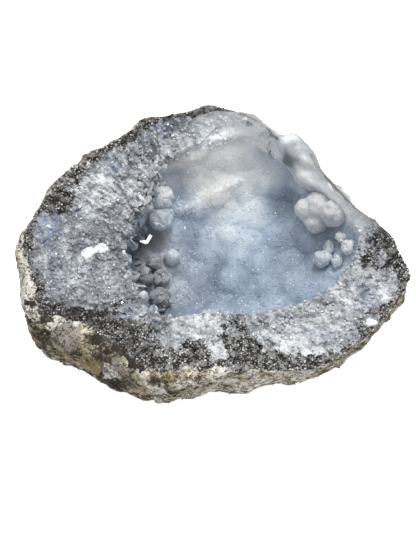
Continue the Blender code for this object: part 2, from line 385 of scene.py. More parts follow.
# %% [markdown]
# ## Where each point lies
#
# Each point of the skin learns how far it is past the rim (positive on the rind), how far past the mouth
# (positive in the hollow), and how far across the dark band it lies. They are kept as attributes, which
# the materials read too, so shape and colour change at the same places.

# %% Zones
HEART = Vector((8.3, 3.7, 27.0))  # a point in the middle of the hollow
SKY = np.array([8.0, 4.0, 90.0])  # a point above it
CLEAR_OF_SKIN, UNDER_MOUTH, NARROWEST_BAND = 0.3, 0.5, 0.2

# Width of the dark band under the rind, by angle, in millimetres along the broken face.
BAND = [
    (0, 9.0), (8, 4.0), (14, 2.0), (22, 0.6), (40, 0.2), (60, 0.2), (84, 0.5), (97, 1.5), (112, 2.0),
    (125, 2.8), (142, 2.2), (158, 4.8), (170, 4.2), (182, 2.2), (195, 3.0), (204, 5.0), (212, 8.5),
    (222, 10.5), (236, 11.0), (250, 8.5), (262, 8.0), (270, 11.0), (278, 14.5), (286, 14.0), (293, 9.5),
    (301, 7.0), (309, 4.0), (318, 3.6), (330, 6.0), (345, 6.0), (353, 9.0),
]
band_table = table_of([(angle, width, 0) for angle, width in BAND])


def coordinates(mesh):
    flat = np.empty(len(mesh.vertices) * 3, np.float32)
    mesh.vertices.foreach_get("co", flat)
    return flat.reshape(-1, 3).astype(np.float64)


def move_points(mesh, places):
    """Puts a mesh's points at new places."""
    mesh.vertices.foreach_set("co", places.astype(np.float32).ravel())
    mesh.update()


def normals(mesh):
    flat = np.empty(len(mesh.vertices) * 3, np.float32)
    mesh.vertices.foreach_get("normal", flat)
    return flat.reshape(-1, 3).astype(np.float64)


def read_at(table, turns):
    """A table's rows at some angles in radians."""
    steps = np.round(turns / (2 * np.pi) * LINE_STEPS).astype(int) % LINE_STEPS
    return table[steps]


def nearest_distances(points, line):
    tree = KDTree(len(line))
    for i, place in enumerate(line):
        tree.insert(place, i)
    tree.balance()
    return np.array([tree.find(point)[2] for point in points])


def keep(mesh, name, values):
    attribute = mesh.attributes.new(name, "FLOAT", "POINT")
    attribute.data.foreach_set("value", np.ascontiguousarray(values, np.float32))


def zones_of(mesh):
    """Signed distances past the rim and past the mouth, and the share of the dark band that is crossed."""
    points, facing = coordinates(mesh) / MM, normals(mesh)
    from_rim = points - np.array(rim_centre)
    turns = np.arctan2(from_rim[:, 1], from_rim[:, 0])
    outside = np.hypot(from_rim[:, 0], from_rim[:, 1]) > read_at(rim_table, turns)[:, 0]
    open_to_sky = ((SKY - points) * facing).sum(1) > 0
    faces = [tuple(face.vertices) for face in mesh.polygons]
    solid = BVHTree.FromPolygons([vertex.co / MM for vertex in mesh.vertices], faces)
    sees_heart = np.zeros(len(points), bool)
    for i in np.flatnonzero(~outside):
        place = Vector(points[i] + facing[i] * CLEAR_OF_SKIN)
        way = HEART - place
        sees_heart[i] = solid.ray_cast(place, way.normalized(), way.length)[0] is None
    on_rind = outside | ~(open_to_sky | sees_heart)
    from_mouth = points - np.array(mouth_centre)
    mouth_turns = np.arctan2(from_mouth[:, 1], from_mouth[:, 0])
    edge = read_at(mouth_table, mouth_turns)
    within = np.hypot(from_mouth[:, 0], from_mouth[:, 1]) < edge[:, 0]
    under = sees_heart & (points[:, 2] < edge[:, 1] - UNDER_MOUTH)
    in_hollow = ~on_rind & (within | under)
    rim_mm = nearest_distances(points, rim_line) * np.where(on_rind, 1, -1)
    mouth_mm = nearest_distances(points, mouth_line) * np.where(in_hollow, 1, -1)
    band = np.maximum(-rim_mm, 0) / np.maximum(read_at(band_table, turns)[:, 0], NARROWEST_BAND)
    return rim_mm, mouth_mm, band, turns


rim_mm, mouth_mm, band, turns = zones_of(skin.data)
print("rind", int((rim_mm > 0).sum()), "wall", int(((rim_mm <= 0) & (mouth_mm <= 0)).sum()),
      "lining", int((mouth_mm > 0).sum()), "points")

# %% [markdown]
# ## Pressing in the grain
#
# Four kinds of surface meet on this stone. Broken quartz splits into facets: every crystal is a small
# plane with a tilt and a height of its own, which a Voronoi cell gives. Crystals that grew side by side
# towards the hollow look like blades, so their cells are stretched that way. Chalcedony grows in domes
# that touch in creases, which is the distance inside a Voronoi cell. Rind is lumpy rock with pits. The
# point is moved along its own normal.

# %% Surface shapes
SEED_BLADES, SEED_GRAINS, SEED_RIND, SEED_DOMES = (Vector((s, 2 * s, 3 * s)) for s in (3.1, 7.7, 12.3, 19.9))
BLADE_SIZE = (1.3, 6.0, 2.2)  # across, inward and up, in millimetres
ROUND_MM = 42.0  # a middling radius, which turns an angle into millimetres round the rim
LIP_RISE, LIP_WIDTH = 0.8, 1.2
PIT_DEPTH = 0.9
MILKY_SMOOTHS = 0.92  # how much of the broken relief is gone where the wall is milky

# How milky the wall is, by angle: 1 where chalcedony runs smoothly up to the rim.
MILKY = [
    (0, 0.35), (8, 0.75), (18, 0.95), (30, 1.0), (45, 1.0), (60, 1.0), (70, 1.0), (80, 0.7), (93, 0.4),
    (106, 0.1), (125, 0), (330, 0), (350, 0.05),
]

# How bladed the wall is, by angle: 1 where the crystals grew long and side by side.
BLADED = [
    (60, 0.0), (95, 0.3), (120, 0.8), (150, 1.0), (175, 0.5), (200, 0.2), (250, 0.35), (290, 0.2),
    (350, 0.3),
]


def step_between(start, end, value):
    share = min(max((value - start) / (end - start), 0.0), 1.0)
    return share * share * (3 - 2 * share)


def facets(place, tilt, rise):
    """Height of a crystal facet: a tilted plane over each Voronoi cell, at a random level."""
    centres = noise.voronoi(place)[1]
    chance = noise.cell_vector(centres[0] * 9.7)
    lean = noise.cell_vector(centres[0] * 5.3 + Vector((4.0, 4.0, 4.0))) - Vector((0.5, 0.5, 0.5))
    return (place - centres[0]).dot(lean) * tilt + (chance.x - 0.5) * rise


def dome(place):
    """1 at the middle of each Voronoi cell, falling like a dome to its creases."""
    distance = noise.voronoi(place)[0][0]
    return max(1 - (distance / 0.85) ** 2, 0)


TRY_POINT = Vector((20, 30, 35))
print("at one point, facet", round(facets(TRY_POINT, tilt=1.0, rise=0.5), 2), "dome", round(dome(TRY_POINT), 2))

# %% [markdown]
# ## The three reliefs
#
# Each zone adds the helpers up in its own way. The sizes are millimetres, so that they can be checked
# against a real stone: lumps of 7 mm on the rind, blades of 6 mm on the wall, domes of 7.5 mm in the
# lining.

# %% Reliefs


def waves(point, size, height, seed):
    """Smooth noise of a size and a height, in millimetres."""
    return noise.noise(point / size + seed) * height


def rind_height(point):
    """Lumps, chips, fine grain and pits of weathered rock."""
    lumps = waves(point, 7.0, 1.3, SEED_RIND) + waves(point, 2.8, 0.5, SEED_RIND)
    chips = facets(point / 4.2 + SEED_RIND, tilt=0.8, rise=0.35)
    grain = waves(point, 0.9, 0.14, SEED_RIND)
    pits = -PIT_DEPTH * max(waves(point, 1.9, 1.0, -SEED_RIND) - 0.2, 0)
    return lumps + chips + grain + pits


def wall_height(point, turn, past_rim, past_mouth, blades, milky):
    """Broken quartz, and where it is milky, soft domes in its place."""
    across, inward, upward = BLADE_SIZE
    along = Vector((turn * ROUND_MM / across, past_rim / inward, point.z / upward))
    bladed = facets(along + SEED_BLADES, tilt=1.0, rise=0.9)
    grainy = facets(point / 1.9 + SEED_GRAINS, tilt=0.7, rise=0.45)
    planes = facets(point / 5.0 + SEED_GRAINS, tilt=1.4, rise=0.8)
    fine = facets(point / 0.9 + SEED_GRAINS, tilt=0.2, rise=0.14)
    lip = LIP_RISE * math.exp(-(((past_mouth + LIP_WIDTH) / LIP_WIDTH) ** 2))
    broken = planes + bladed * blades + grainy * (1 - 0.7 * blades) + fine + lip
    soft = dome(point / 6.5 + SEED_DOMES) * 0.5 + waves(point, 2.6, 0.35, Vector())
    return broken * (1 - MILKY_SMOOTHS * milky) + soft * milky


LARGE_DOME_MM = 7.5


def lining_height(point, calm):
    """Large and small domes with a sugary skin. It is calm near the knobs, so that they don't drown."""
    large = dome(point / LARGE_DOME_MM + SEED_DOMES) * 1.3 + waves(point, 9.0, 0.8, SEED_DOMES)
    small = dome(point / 2.9 + SEED_DOMES) * 0.2
    sugar = waves(point, 0.7, 0.06, SEED_DOMES)
    return (large - 0.7) * calm + (small - 0.1) * (0.4 + 0.6 * calm) + sugar


print("at one point, rind", round(rind_height(TRY_POINT), 2), "lining", round(lining_height(TRY_POINT, 1.0), 2), "mm")

# %% [markdown]
# ## Easing one relief into the next
#
# A long ridge of sugary quartz runs along the back of the lining. Knobs need calm ground, so the distance
# to them is measured first. Then every point moves out by a mix of the three reliefs.

# %% Pressing in
RIDGE = [
    (-9.5, 21.8, 17.6), (-6.6, 22.9, 18.6), (-2.8, 24.8, 19.4), (0.7, 26.3, 20.9), (5.1, 28.3, 21.5),
    (8.0, 29.9, 21.4),
]
RIDGE_WIDTH, RIDGE_RISE = 1.7, 1.3


def dense_line(corners, steps=12):
    """Close points along a line through the corners."""
    shares = np.linspace(0, 1, steps, endpoint=False)[:, None]
    legs = [np.array(a) + (np.array(b) - np.array(a)) * shares for a, b in zip(corners, corners[1:])]
    return np.concatenate(legs)


blades_table = table_of([(angle, share, 0) for angle, share in BLADED])
milky_table = table_of([(angle, share, 0) for angle, share in MILKY])
growth_nodes = [name for name in frame["nodes"] if name != "geode_half"]
growth_points = [v.co / MM for name in growth_nodes for v in frame["nodes"][name].data.vertices]
to_growth = nearest_distances(coordinates(skin.data) / MM, growth_points)
to_ridge = nearest_distances(coordinates(skin.data) / MM, dense_line(RIDGE))
ridge_share = np.exp(-((to_ridge / RIDGE_WIDTH) ** 2))


# Where one surface eases into the next: millimetres past the rim, past the mouth and from a knob. The relief
# fades towards the foot that the stone rests on, and keeps a part of its height right at the rim.
RIM_EASE, MOUTH_EASE, KNOB_EASE = (-0.8, 0.8), (-1.0, 1.8), (0.5, 4.0)
FOOT_EASE, EDGE_EASE, EDGE_LEFT = (0.0, 3.0), (0.0, 2.5), 0.45


def heights_of(mesh):
    """How far each point moves along its normal, in millimetres, eased from one surface to the next."""
    points = coordinates(mesh) / MM
    heights = np.zeros(len(points))
    for i, place in enumerate(points):
        point = Vector(place)
        on_rind = step_between(*RIM_EASE, rim_mm[i])
        in_hollow = step_between(*MOUTH_EASE, mouth_mm[i])
        height = 0.0
        if on_rind > 0:
            height += on_rind * rind_height(point)
        if on_rind < 1 and in_hollow < 1:
            broken = wall_height(point, turns[i], -rim_mm[i], mouth_mm[i], blades[i], milky[i])
            height += (1 - on_rind) * (1 - in_hollow) * broken
        if in_hollow > 0:
            calm = step_between(*KNOB_EASE, to_growth[i])
            lined = lining_height(point, calm) + RIDGE_RISE * ridge_share[i]
            height += in_hollow * (1 - on_rind) * lined
        steady_edge = EDGE_LEFT + (1 - EDGE_LEFT) * step_between(*EDGE_EASE, abs(rim_mm[i]))
        heights[i] = height * step_between(*FOOT_EASE, place[2]) * steady_edge
    return heights


skin_points = coordinates(skin.data)
skin_normals = normals(skin.data)
blades = read_at(blades_table, turns)[:, 0]
milky = np.clip(read_at(milky_table, turns)[:, 0], 0, 1)
heights = heights_of(skin.data)
grown_points = skin_points + skin_normals * heights[:, None] * MM
move_points(skin.data, grown_points)
print("surface height:", heights.min().round(2), "to", heights.max().round(2), "mm")

# %% [markdown]
# ## Spots with a look of their own
#
# No two parts of a natural stone look alike: here a white patch, there a dark pocket of clear quartz or a
# fresh chip. Some spots are painted light and shade rather than the stone's own colour: a lit dome painted
# paler, dark pockets, creases and recesses painted as shadow, and a glint painted white. Each is a spot in
# space, with a place, a reach and a strength in millimetres, and fades with distance. The distances are bent
# by noise first, so the spots come out ragged. Every kind of spot becomes one attribute of the skin, and the
# materials turn it into colour.

# %% Spots
SPOT_BEND, SPOT_GRAIN = 1.4, 2.6
BEND_STARTS = (Vector((3.3, 0, 0)), Vector((0, 17.1, 0)), Vector((0, 0, 29.7)))

SPOTS = {
    # Paler (or, where negative, darker) quartz, chalcedony and rind. Partly this is their own tone and partly
    # painted light and shade: the dome in the middle of the hollow is painted paler where it is lit, and the
    # recesses beside the lobed knobs and in the right bay are painted darker as shade.
    "pale": [
        ((-4.5, -27.2, 35.4), 9, 0.75), ((25, -24, 33), 12, -0.1), ((36, -17, 32), 10, 0.4),
        ((46, -17, 34), 4, 0.6), ((-28.8, 20.7, 34.5), 9, 0.5), ((-35.5, 16.4, 35.6), 6, 0.5),
        ((-8, 40, 38), 7, -0.35), ((29, 24, 31), 9, 0.4), ((24.5, 32, 37), 4.5, -0.3),
        ((28.5, 27, 36), 3.5, 0.1), ((12, 34, 35), 5, 0.35), ((18, 30, 33), 4, 0.4),
        ((-35, -20, 31), 9, -0.35), ((-24, 4, 28), 5, -0.35), ((-33, -5, 31), 9, -0.15),
        ((-38, -10, 32), 3, 0.6), ((-31, -15, 31), 2.5, -0.7), ((-42, -6, 33), 2.5, -0.7),
        ((-28, -10, 30), 2.2, 0.5), ((8.1, 20.0, 15.1), 13, 0.8), ((12.6, 28.2, 19.1), 8, 0.35),
        ((-4.6, 23.8, 17), 3, 0.3), ((0.9, -1.3, 11.2), 9, -0.1), ((5, 39, 35), 11, 0.7),
        ((3.6, 36.7, 32.1), 8, 0.6), ((2.9, 6.5, 11.7), 4, -0.55), ((20.5, 25.0, 18.6), 4.5, -1.2),
        ((29.3, 22.0, 26.5), 3.0, -0.9), ((32.4, 13.4, 19.2), 3.5, -0.9), ((34.6, 18, 30.5), 4, 1.0),
        ((37.4, 13.6, 29.0), 4, 1.0), ((19.1, 17.0, 15.7), 6, -0.6), ((25.4, 5.3, 11.6), 9, -0.4),
        ((-6.5, 14.7, 13.0), 5, -0.6), ((-9.4, 30.9, 30.3), 7, 0.3), ((21.3, 29.8, 37.8), 8, 0.35),
        ((24.6, 24.7, 23.0), 3.0, 0.9), ((44.1, 2.4, 32.5), 2.6, -0.8), ((0, -41, 33), 12, 1.0),
        ((22, -38, 30), 12, 1.4), ((-45, -27, 27), 9, -0.6), ((-28, -38, 25), 9, -0.8),
        ((5, 33, 28), 9, 0.5), ((14, 31, 25), 7, 0.5), ((-3, 31, 27), 6, 0.5),
        ((0.7, 4.0, 12.4), 2.4, -0.5), ((-8.5, -4.5, 11.5), 5, -1.6),
    ],
    # Clear, dark quartz and deep shadow.
    "smoke": [
        ((-21.0, 12.4, 15.6), 5.5, 1.7), ((-19.3, -1.1, 13.5), 6, 0.8), ((-15.5, -8.0, 11.0), 5, 0.8),
        ((-15.8, 14.0, 14.0), 3.5, 0.5), ((2.8, 6.5, 12.5), 2.4, 0.5), ((-1.0, 3.5, 12.2), 3.0, 0.3),
        ((21.3, 28.6, 32.5), 2.8, 1.5), ((-22, 6, 20), 6, 0.8), ((-15.0, -25.5, 30.9), 2.4, 0.9),
        ((41.3, -15.7, 33.3), 2.2, 0.9), ((-13.5, -6.3, 13.8), 1.4, 0.9),
        ((-11.5, -10.7, 11.3), 1.4, 0.9),
    ],
    # Chalcedony without its blue.
    "grey": [
        ((2.3, 36.4, 32.5), 12, 0.8), ((-9.2, 30.8, 30.4), 9, 0.7), ((30, 18, 25), 6, 0.7),
        ((36.5, 15, 29.5), 5, 0.6), ((25.4, 4.5, 12.7), 5, 0.2), ((-12, 0, 12), 7, 0.3),
        ((-18, 12, 16), 8, 0.45), ((1.3, 26.5, 19), 6, 0.7), ((5, 32, 27), 9, 0.5),
        ((-9, -2, 11), 6, 0.15),
    ],
    # Opaque white, and a painted glint on a facet in the dark left pocket.
    "frost": [
        ((-34.2, -0.6, 30.6), 1.5, 1.2), ((-32.2, 0.4, 30.2), 1.4, 1.3), ((-30.3, 1.0, 29.9), 1.2, 1.2),
        ((-21.0, 13.2, 17.3), 1.0, 1.4), ((-38.0, 16.5, 36.0), 2.4, 0.7),
        ((-31.0, 20.5, 35.0), 2.2, 0.65), ((-24.0, 22.0, 32.0), 2.0, 0.5),
        ((-20.6, 17.8, 29.8), 1.8, 0.6), ((42.2, -25.9, 34.8), 1.8, 0.7), ((46.0, -17.4, 34.1), 2.4, 0.5),
        ((41.8, -19.6, 34.0), 1.8, 0.45), ((-45.6, 5.0, 36.0), 1.2, 0.8), ((44.5, -5.5, 33.0), 1.4, 0.6),
        ((40.0, 0.5, 31.0), 1.8, 0.5), ((35.6, -17.5, 32.1), 2.2, 0.5),
    ],
    # Blue quartz.
    "blue": [
        ((-45.4, 5.4, 35.9), 3.0, 0.9), ((-24.9, -22.4, 31), 4.5, 0.55), ((-40, -8, 33), 4.5, 0.3),
        ((-46, 0, 34.5), 3, 0.5), ((-28.5, 24.7, 34.7), 3, 0.5), ((-38.6, 20.2, 37), 2.5, 0.6),
        ((-17.9, 36.3, 39.0), 3.5, 0.5), ((41.3, -15.7, 33.3), 3, 0.6), ((-17, -26.5, 32), 3, 0.5),
    ],
    # The dark skin reaching in (or, where negative, quartz breaking through it).
    "ink": [
        ((39.5, -17.5, 33.5), 2.0, 0.9), ((47.5, -22.0, 34.3), 1.8, 0.9), ((36.5, -24.5, 34), 2.2, 0.7),
        ((-41.8, 11.1, 35.9), 4.5, 0.7), ((41.9, -4.4, 30.8), 4, 0.5), ((-45.4, 5.4, 35.9), 2.6, -1.8),
        ((42.2, -25.9, 34.8), 2.4, -1.0), ((46.0, -17.4, 34.1), 3.0, -1.3),
        ((1.4, -34.7, 34.2), 2.0, -1.4), ((-46.5, -12, 33), 2.6, 0.9), ((6.4, -24.8, 34), 2.5, 0.35),
        ((-33, -25, 31.5), 4, 0.5), ((46.5, -4.0, 33.9), 2.2, -0.9), ((20.3, -33.9, 33.8), 2.2, -0.7),
        ((-11.3, -31.5, 33.1), 1.8, -0.7), ((-44.0, 14.0, 37.0), 1.6, -0.9),
        ((41.0, -10.5, 32.4), 2.0, 0.6), ((45.0, -22.0, 34.5), 2.0, 0.9), ((40.0, -27.8, 34.4), 2.2, 0.9),
    ],
    # White mineral crust on the rind.
    "plaster": [
        ((-14.6, -43.3, 29.2), 2.6, 1.2), ((2.2, -40.4, 34.4), 2.6, 0.9), ((-51.3, -16.9, 31.2), 4, 0.9),
        ((-51.4, -8.0, 33.1), 3, 0.8), ((-49.5, -14, 33), 3, 0.9), ((-47.5, -21, 31), 2.2, 0.8),
        ((1.4, -34.7, 34.2), 1.8, 1.1), ((-40.9, -23.1, 31.0), 1.6, 1.1),
        ((-37.2, -23.8, 31.3), 1.4, 1.0), ((-44.0, -24.5, 30), 1.6, 0.8),
        ((-34.0, -25.2, 31.5), 1.4, 0.9), ((-27, -37.5, 28), 3.2, 0.75), ((-23.0, -32.5, 32.0), 1.6, 0.8),
        ((16, -43, 32), 4, 0.6), ((-9.5, -38.0, 33), 1.5, 0.8), ((-5.9, -40.1, 34.2), 1.8, 0.6),
        ((9.7, -40.6, 32.5), 2.4, 0.6), ((25.6, -37.9, 30.3), 3.0, 0.5), ((17.8, 33.6, 35.0), 5, -3.0),
        ((19.5, 31.0, 32.0), 4, -3.0), ((35, 19, 32), 5, -2.5), ((39, 13, 31), 4, -2.5),
    ],
    # Sugary quartz, warm white, on the ridge of the lining.
    "sugar": [
        ((-9.5, 21.8, 17.6), 1.8, 0.5), ((-6.6, 22.9, 18.6), 2.0, 0.7), ((-2.8, 24.8, 19.4), 2.2, 0.8),
        ((0.7, 26.3, 20.9), 2.4, 0.8), ((5.1, 28.3, 21.5), 2.2, 0.7),
    ],
    # Grey-mauve fresh break in the rind.
    "bruise": [((-39.5, -27.4, 29.6), 4.6, 1.2), ((-24, -35.5, 30), 3.4, 0.9), ((-17, -39, 30), 3.4, 0.8)],
    # Yellow-tan stain on the rind.
    "ochre": [
        ((-32.5, -34.3, 27.1), 4, 1.0), ((-9.8, -41.3, 33.8), 1.6, 1.0), ((-20, -42, 25), 3.6, 0.9),
        ((-49.5, -26, 24), 4, 0.7), ((-36, -34, 20), 5, 0.8), ((-12, -41, 33), 1.8, 0.8),
        ((-41, -31, 25), 3, 0.8),
    ],
    # Dark cracks and stains in the rind.
    "shade": [
        ((-19.0, -37.6, 33.2), 2.2, 1.1), ((-14, -38.0, 32.6), 1.8, 1.0),
        ((-30.5, -29.5, 31.5), 1.8, 1.2), ((-28.0, -32.5, 31.2), 1.5, 1.1),
        ((-46.5, -27.5, 28.5), 1.5, 0.9), ((-27, -41, 23), 2.6, 0.8), ((-5, -41.5, 29), 1.8, 0.8),
        ((-24.5, -32.6, 32.2), 1.6, 1.2), ((-21.4, -35.5, 33.0), 1.6, 1.2), ((-10, -43, 27), 1.6, 0.8),
        ((-49.1, -19.3, 32.5), 1.6, 0.8),
    ],
}

print("spots:", {kind: len(rows) for kind, rows in SPOTS.items()})

# %% [markdown]
# ## From spots to attributes
#
# Each kind of spot adds up to one number at each point of the skin. The numbers are kept as attributes.

# %% Spots on the skin


def bent(points):
    """The points moved a little by noise, so that spots placed among them come out ragged."""
    shifts = [[noise.noise(Vector(p) / SPOT_GRAIN + start) for start in BEND_STARTS] for p in points]
    return points + np.array(shifts) * SPOT_BEND


def spot_strength(points, rows):
    total = np.zeros(len(points))
    for place, reach, strength in rows:
        total += strength * np.exp(-((points - np.array(place)) ** 2).sum(1) / reach**2)
    return total


bent_points = bent(skin_points / MM)
spots = {kind: spot_strength(bent_points, rows) for kind, rows in SPOTS.items()}
# How far each point lies from a dome top towards its crease; the lining is darkened by it as painted shade.
creases = np.array([1 - dome(Vector(p / MM) / LARGE_DOME_MM + SEED_DOMES) for p in skin_points])
place_values = {"rim_mm": rim_mm, "mouth_mm": mouth_mm, "band": band, "turn": turns, "blades": blades,
                "milky": milky, "crease": creases, **spots}
for name, values in place_values.items():
    keep(skin.data, name, values)
print("attributes:", list(place_values))

# %% [markdown]
# ## Two pieces from one skin
#
# The stone is one closed solid, and the chalcedony is a crust that lies in its hollow. Both are cut from
# the same skin. In the stone, the hollow is sunk a little, so that the crust covers it, and a Decimate
# modifier with a vertex group thins the faces that are hidden under the crust or low down and behind. The
# crust is the hollow's faces, given a back by Solidify, with its edge dipped just below the wall so that
# the join is lost among the grains.

# %% Stone and crust
CRUST_THICKNESS = 1.3
CRUST_LAP = 0.9
CRUST_DIP, CRUST_LIFT = 0.25, 0.05
SUNK = 0.8
MOST_TRIANGLES = 190000


def thinned(obj, group_name, most):
    """Brings an object under a number of triangles, mostly where its vertex group is strong."""
    obj.data.calc_loop_triangles()
    count = len(obj.data.loop_triangles)
    if count <= most:
        return
    fewer = obj.modifiers.new("thin", "DECIMATE")
    fewer.ratio = most / count
    fewer.use_collapse_triangulate = True
    fewer.vertex_group = group_name
    apply_modifiers(obj)


def weigh(obj, name, weights):
    """A vertex group from an array of weights, in ten steps."""
    group = obj.vertex_groups.new(name=name)
    steps = np.round(np.clip(weights, 0, 1) * 10).astype(int)
    for step in range(1, 11):
        group.add(np.flatnonzero(steps == step).tolist(), step / 10, "REPLACE")
    return group.name


def copy_of(name, source):
    made = bpy.data.objects.new(name, source.data.copy())
    made.data.name = name
    bpy.context.scene.collection.objects.link(made)
    return made


def triangle_count(obj):
    obj.data.calc_loop_triangles()
    return len(obj.data.loop_triangles)


stone = copy_of("geode_stone", skin)
sink = np.array([step_between(0.4, 2.5, past) for past in mouth_mm]) * SUNK
move_points(stone.data, grown_points - skin_normals * sink[:, None] * MM)
across, up = skin_points[:, 1] / MM, skin_points[:, 2] / MM
low_or_behind = np.clip((30 - up) / 12 + across / 30, 0.15, 1)
unseen = np.maximum(np.where(rim_mm > 0, low_or_behind, 0), np.where(mouth_mm > 2, 1, 0))
thinned(stone, weigh(stone, "unseen", unseen), MOST_TRIANGLES)
print("stone:", triangle_count(stone), "triangles")


def largest_island(mesh):
    """Deletes every face that isn't joined to the largest patch of faces."""
    left, islands = set(mesh.faces), []
    while left:
        patch, edge = set(), [left.pop()]
        while edge:
            face = edge.pop()
            patch.add(face)
            for side in face.edges:
                for other in side.link_faces:
                    if other in left:
                        left.discard(other)
                        edge.append(other)
        islands.append(patch)
    islands.sort(key=len, reverse=True)
    bmesh.ops.delete(mesh, geom=[face for patch in islands[1:] for face in patch], context="FACES")


crust = copy_of("chalcedony_lining", skin)
lift = np.array([step_between(-CRUST_LAP, CRUST_LAP, past) for past in mouth_mm])
lift = lift * (CRUST_DIP + CRUST_LIFT) - CRUST_DIP
move_points(crust.data, grown_points + skin_normals * lift[:, None] * MM)
crust_mesh = bmesh.new()
crust_mesh.from_mesh(crust.data)
past_mouth = crust_mesh.verts.layers.float["mouth_mm"]
outside_faces = [f for f in crust_mesh.faces if min(v[past_mouth] for v in f.verts) < -CRUST_LAP]
bmesh.ops.delete(crust_mesh, geom=outside_faces, context="FACES")
largest_island(crust_mesh)
crust_mesh.to_mesh(crust.data)
crust_mesh.free()
back = crust.modifiers.new("thickness", "SOLIDIFY")
back.thickness = CRUST_THICKNESS * MM
back.offset = -1
back.use_even_offset = False
back.shell_vertex_group = crust.vertex_groups.new(name="back").name
apply_modifiers(crust)
thinned(crust, "back", MOST_TRIANGLES)
print("crust:", triangle_count(crust), "triangles")

# %% [markdown]
# ## Shared effects
#
# Three effects come back in every zone, so each is a node group. Mottle marks soft patches. Speckle
# scatters crooked flecks with sharp edges. Facets gives each Voronoi cell two tones and a tilt of its own,
# which is what makes broken quartz flash unevenly. They put out masks, values and normals only.

# %% Shared effects
FLOAT, VECTOR, COLOUR = "NodeSocketFloat", "NodeSocketVector", "NodeSocketColor"
HALF = (0.5, 0.5, 0.5)

mottle, enter, leave = new_group(
    "mottle", [("Vector", VECTOR, None), ("Scale", FLOAT, 1.0), ("Cover", FLOAT, 0.5),
               ("Softness", FLOAT, 0.1), ("Detail", FLOAT, 4.0)], [("Mask", FLOAT)])
feeds = {key: enter[key] for key in ("Vector", "Scale", "Detail")}
patchy = node(mottle, "ShaderNodeTexNoise", "patches", {**feeds, "Roughness": 0.6})
bare = sum_of(mottle, "bare share", "SUBTRACT", 1.0, enter["Cover"])
level = ranged(mottle, "level", bare, 0.25, 0.75)
low_edge = sum_of(mottle, "from", "SUBTRACT", level, enter["Softness"])
high_edge = sum_of(mottle, "to", "ADD", level, enter["Softness"])
mottle.links.new(eased(mottle, "edge", patchy.outputs["Fac"], low_edge, high_edge), leave["Mask"])

speckle, enter, leave = new_group(
    "speckle", [("Vector", VECTOR, None), ("Scale", FLOAT, 1.0), ("Share", FLOAT, 0.2), ("Size", FLOAT, 0.4)],
    [("Mask", FLOAT)])
feeds = {key: enter[key] for key in ("Vector", "Scale")}
bend = node(speckle, "ShaderNodeTexNoise", "bend", {**feeds, "Detail": 2.0}).outputs["Color"]
shift = vector_of(speckle, "shift", "SUBTRACT", {0: bend, 1: HALF})
grid = vector_of(speckle, "grid", "SCALE", {0: enter["Vector"], "Scale": enter["Scale"]})
grid = vector_of(speckle, "crooked", "ADD", {0: grid, 1: shift})
fleck = node(speckle, "ShaderNodeTexVoronoi", "flecks", {"Vector": grid, "Scale": 1.0})
chance = node(speckle, "ShaderNodeSeparateColor", "chance", {"Color": fleck.outputs["Color"]})
chosen = sum_of(speckle, "chosen", "LESS_THAN", chance.outputs[0], enter["Share"])
near = sum_of(speckle, "within", "LESS_THAN", fleck.outputs["Distance"], enter["Size"])
speckle.links.new(sum_of(speckle, "fleck", "MULTIPLY", chosen, near), leave["Mask"])

facet_look, enter, leave = new_group(
    "facets", [("Vector", VECTOR, None), ("Scale", FLOAT, 1.0), ("Tilt", FLOAT, 0.5)],
    [("Tone", FLOAT), ("Second Tone", FLOAT), ("Normal", VECTOR)])
feeds = {key: enter[key] for key in ("Vector", "Scale")}
cell = node(facet_look, "ShaderNodeTexVoronoi", "crystals", feeds).outputs["Color"]
tones = node(facet_look, "ShaderNodeSeparateColor", "tones", {"Color": cell})
lean = vector_of(facet_look, "centred", "SUBTRACT", {0: cell, 1: HALF})
lean = vector_of(facet_look, "tilt", "SCALE", {0: lean, "Scale": enter["Tilt"]})
surface = node(facet_look, "ShaderNodeNewGeometry", "surface")
turned = vector_of(facet_look, "turn", "ADD", {0: surface.outputs["Normal"], 1: lean})
facet_look.links.new(tones.outputs[0], leave["Tone"])
facet_look.links.new(tones.outputs[1], leave["Second Tone"])
facet_look.links.new(vector_of(facet_look, "unit", "NORMALIZE", {0: turned}), leave["Normal"])
print("groups:", [group.name for group in bpy.data.node_groups])

# %% [markdown]
# ## The colours of the stone
#
# One group works out the colour of any spot from where it lies: cream and tan rind, a near-black skin
# flecked with white under it, grey quartz with a breath of blue, and chalcedony that deepens from milk to
# slate blue. Each zone starts from a ramp over fractal noise, and the spots push it lighter, darker or to
# another mineral. Some of that is painted light and shade: the lit dome of the lining is painted paler, its
# creases, pockets and recesses painted darker, and a few glints painted white. Stone, crust and loose
# crystals all use the group, so every grain takes the colour of its own place.

# %% Colours by place
RIND_DARK, OLIVE, TAN = paint(76, 70, 58), paint(130, 122, 100), paint(172, 160, 132)
CREAM, RIND_WHITE = paint(206, 198, 180), paint(234, 231, 225)
OCHRE, BRUISE, SHADE = paint(166, 148, 102), paint(160, 150, 144), paint(44, 37, 30)
BAND_BLACK, BAND_BROWN = paint(27, 23, 20), paint(58, 51, 45)
BAND_GREY, BAND_FLECK, EDGE_BROWN = paint(142, 142, 142), paint(214, 214, 211), paint(108, 101, 93)
QUARTZ_DARK, QUARTZ_GREY, QUARTZ_MID = paint(108, 112, 118), paint(150, 153, 157), paint(182, 186, 189)
QUARTZ_PALE, FROST, QUARTZ_BLUE = paint(214, 216, 217), paint(246, 248, 250), paint(150, 168, 202)
DEEP_BLUE, SLATE_BLUE = paint(124, 139, 157), paint(158, 173, 190)
MILK_BLUE, MILK = paint(194, 205, 214), paint(226, 232, 236)
# The two darkest colours on this line are smoky quartz darkened further as painted shadow, for pockets and creases.
SMOKE_AND_SHADE, DEEP_SMOKE_AND_SHADE, SUGAR = paint(88, 93, 100), paint(50, 54, 60), paint(220, 221, 217)

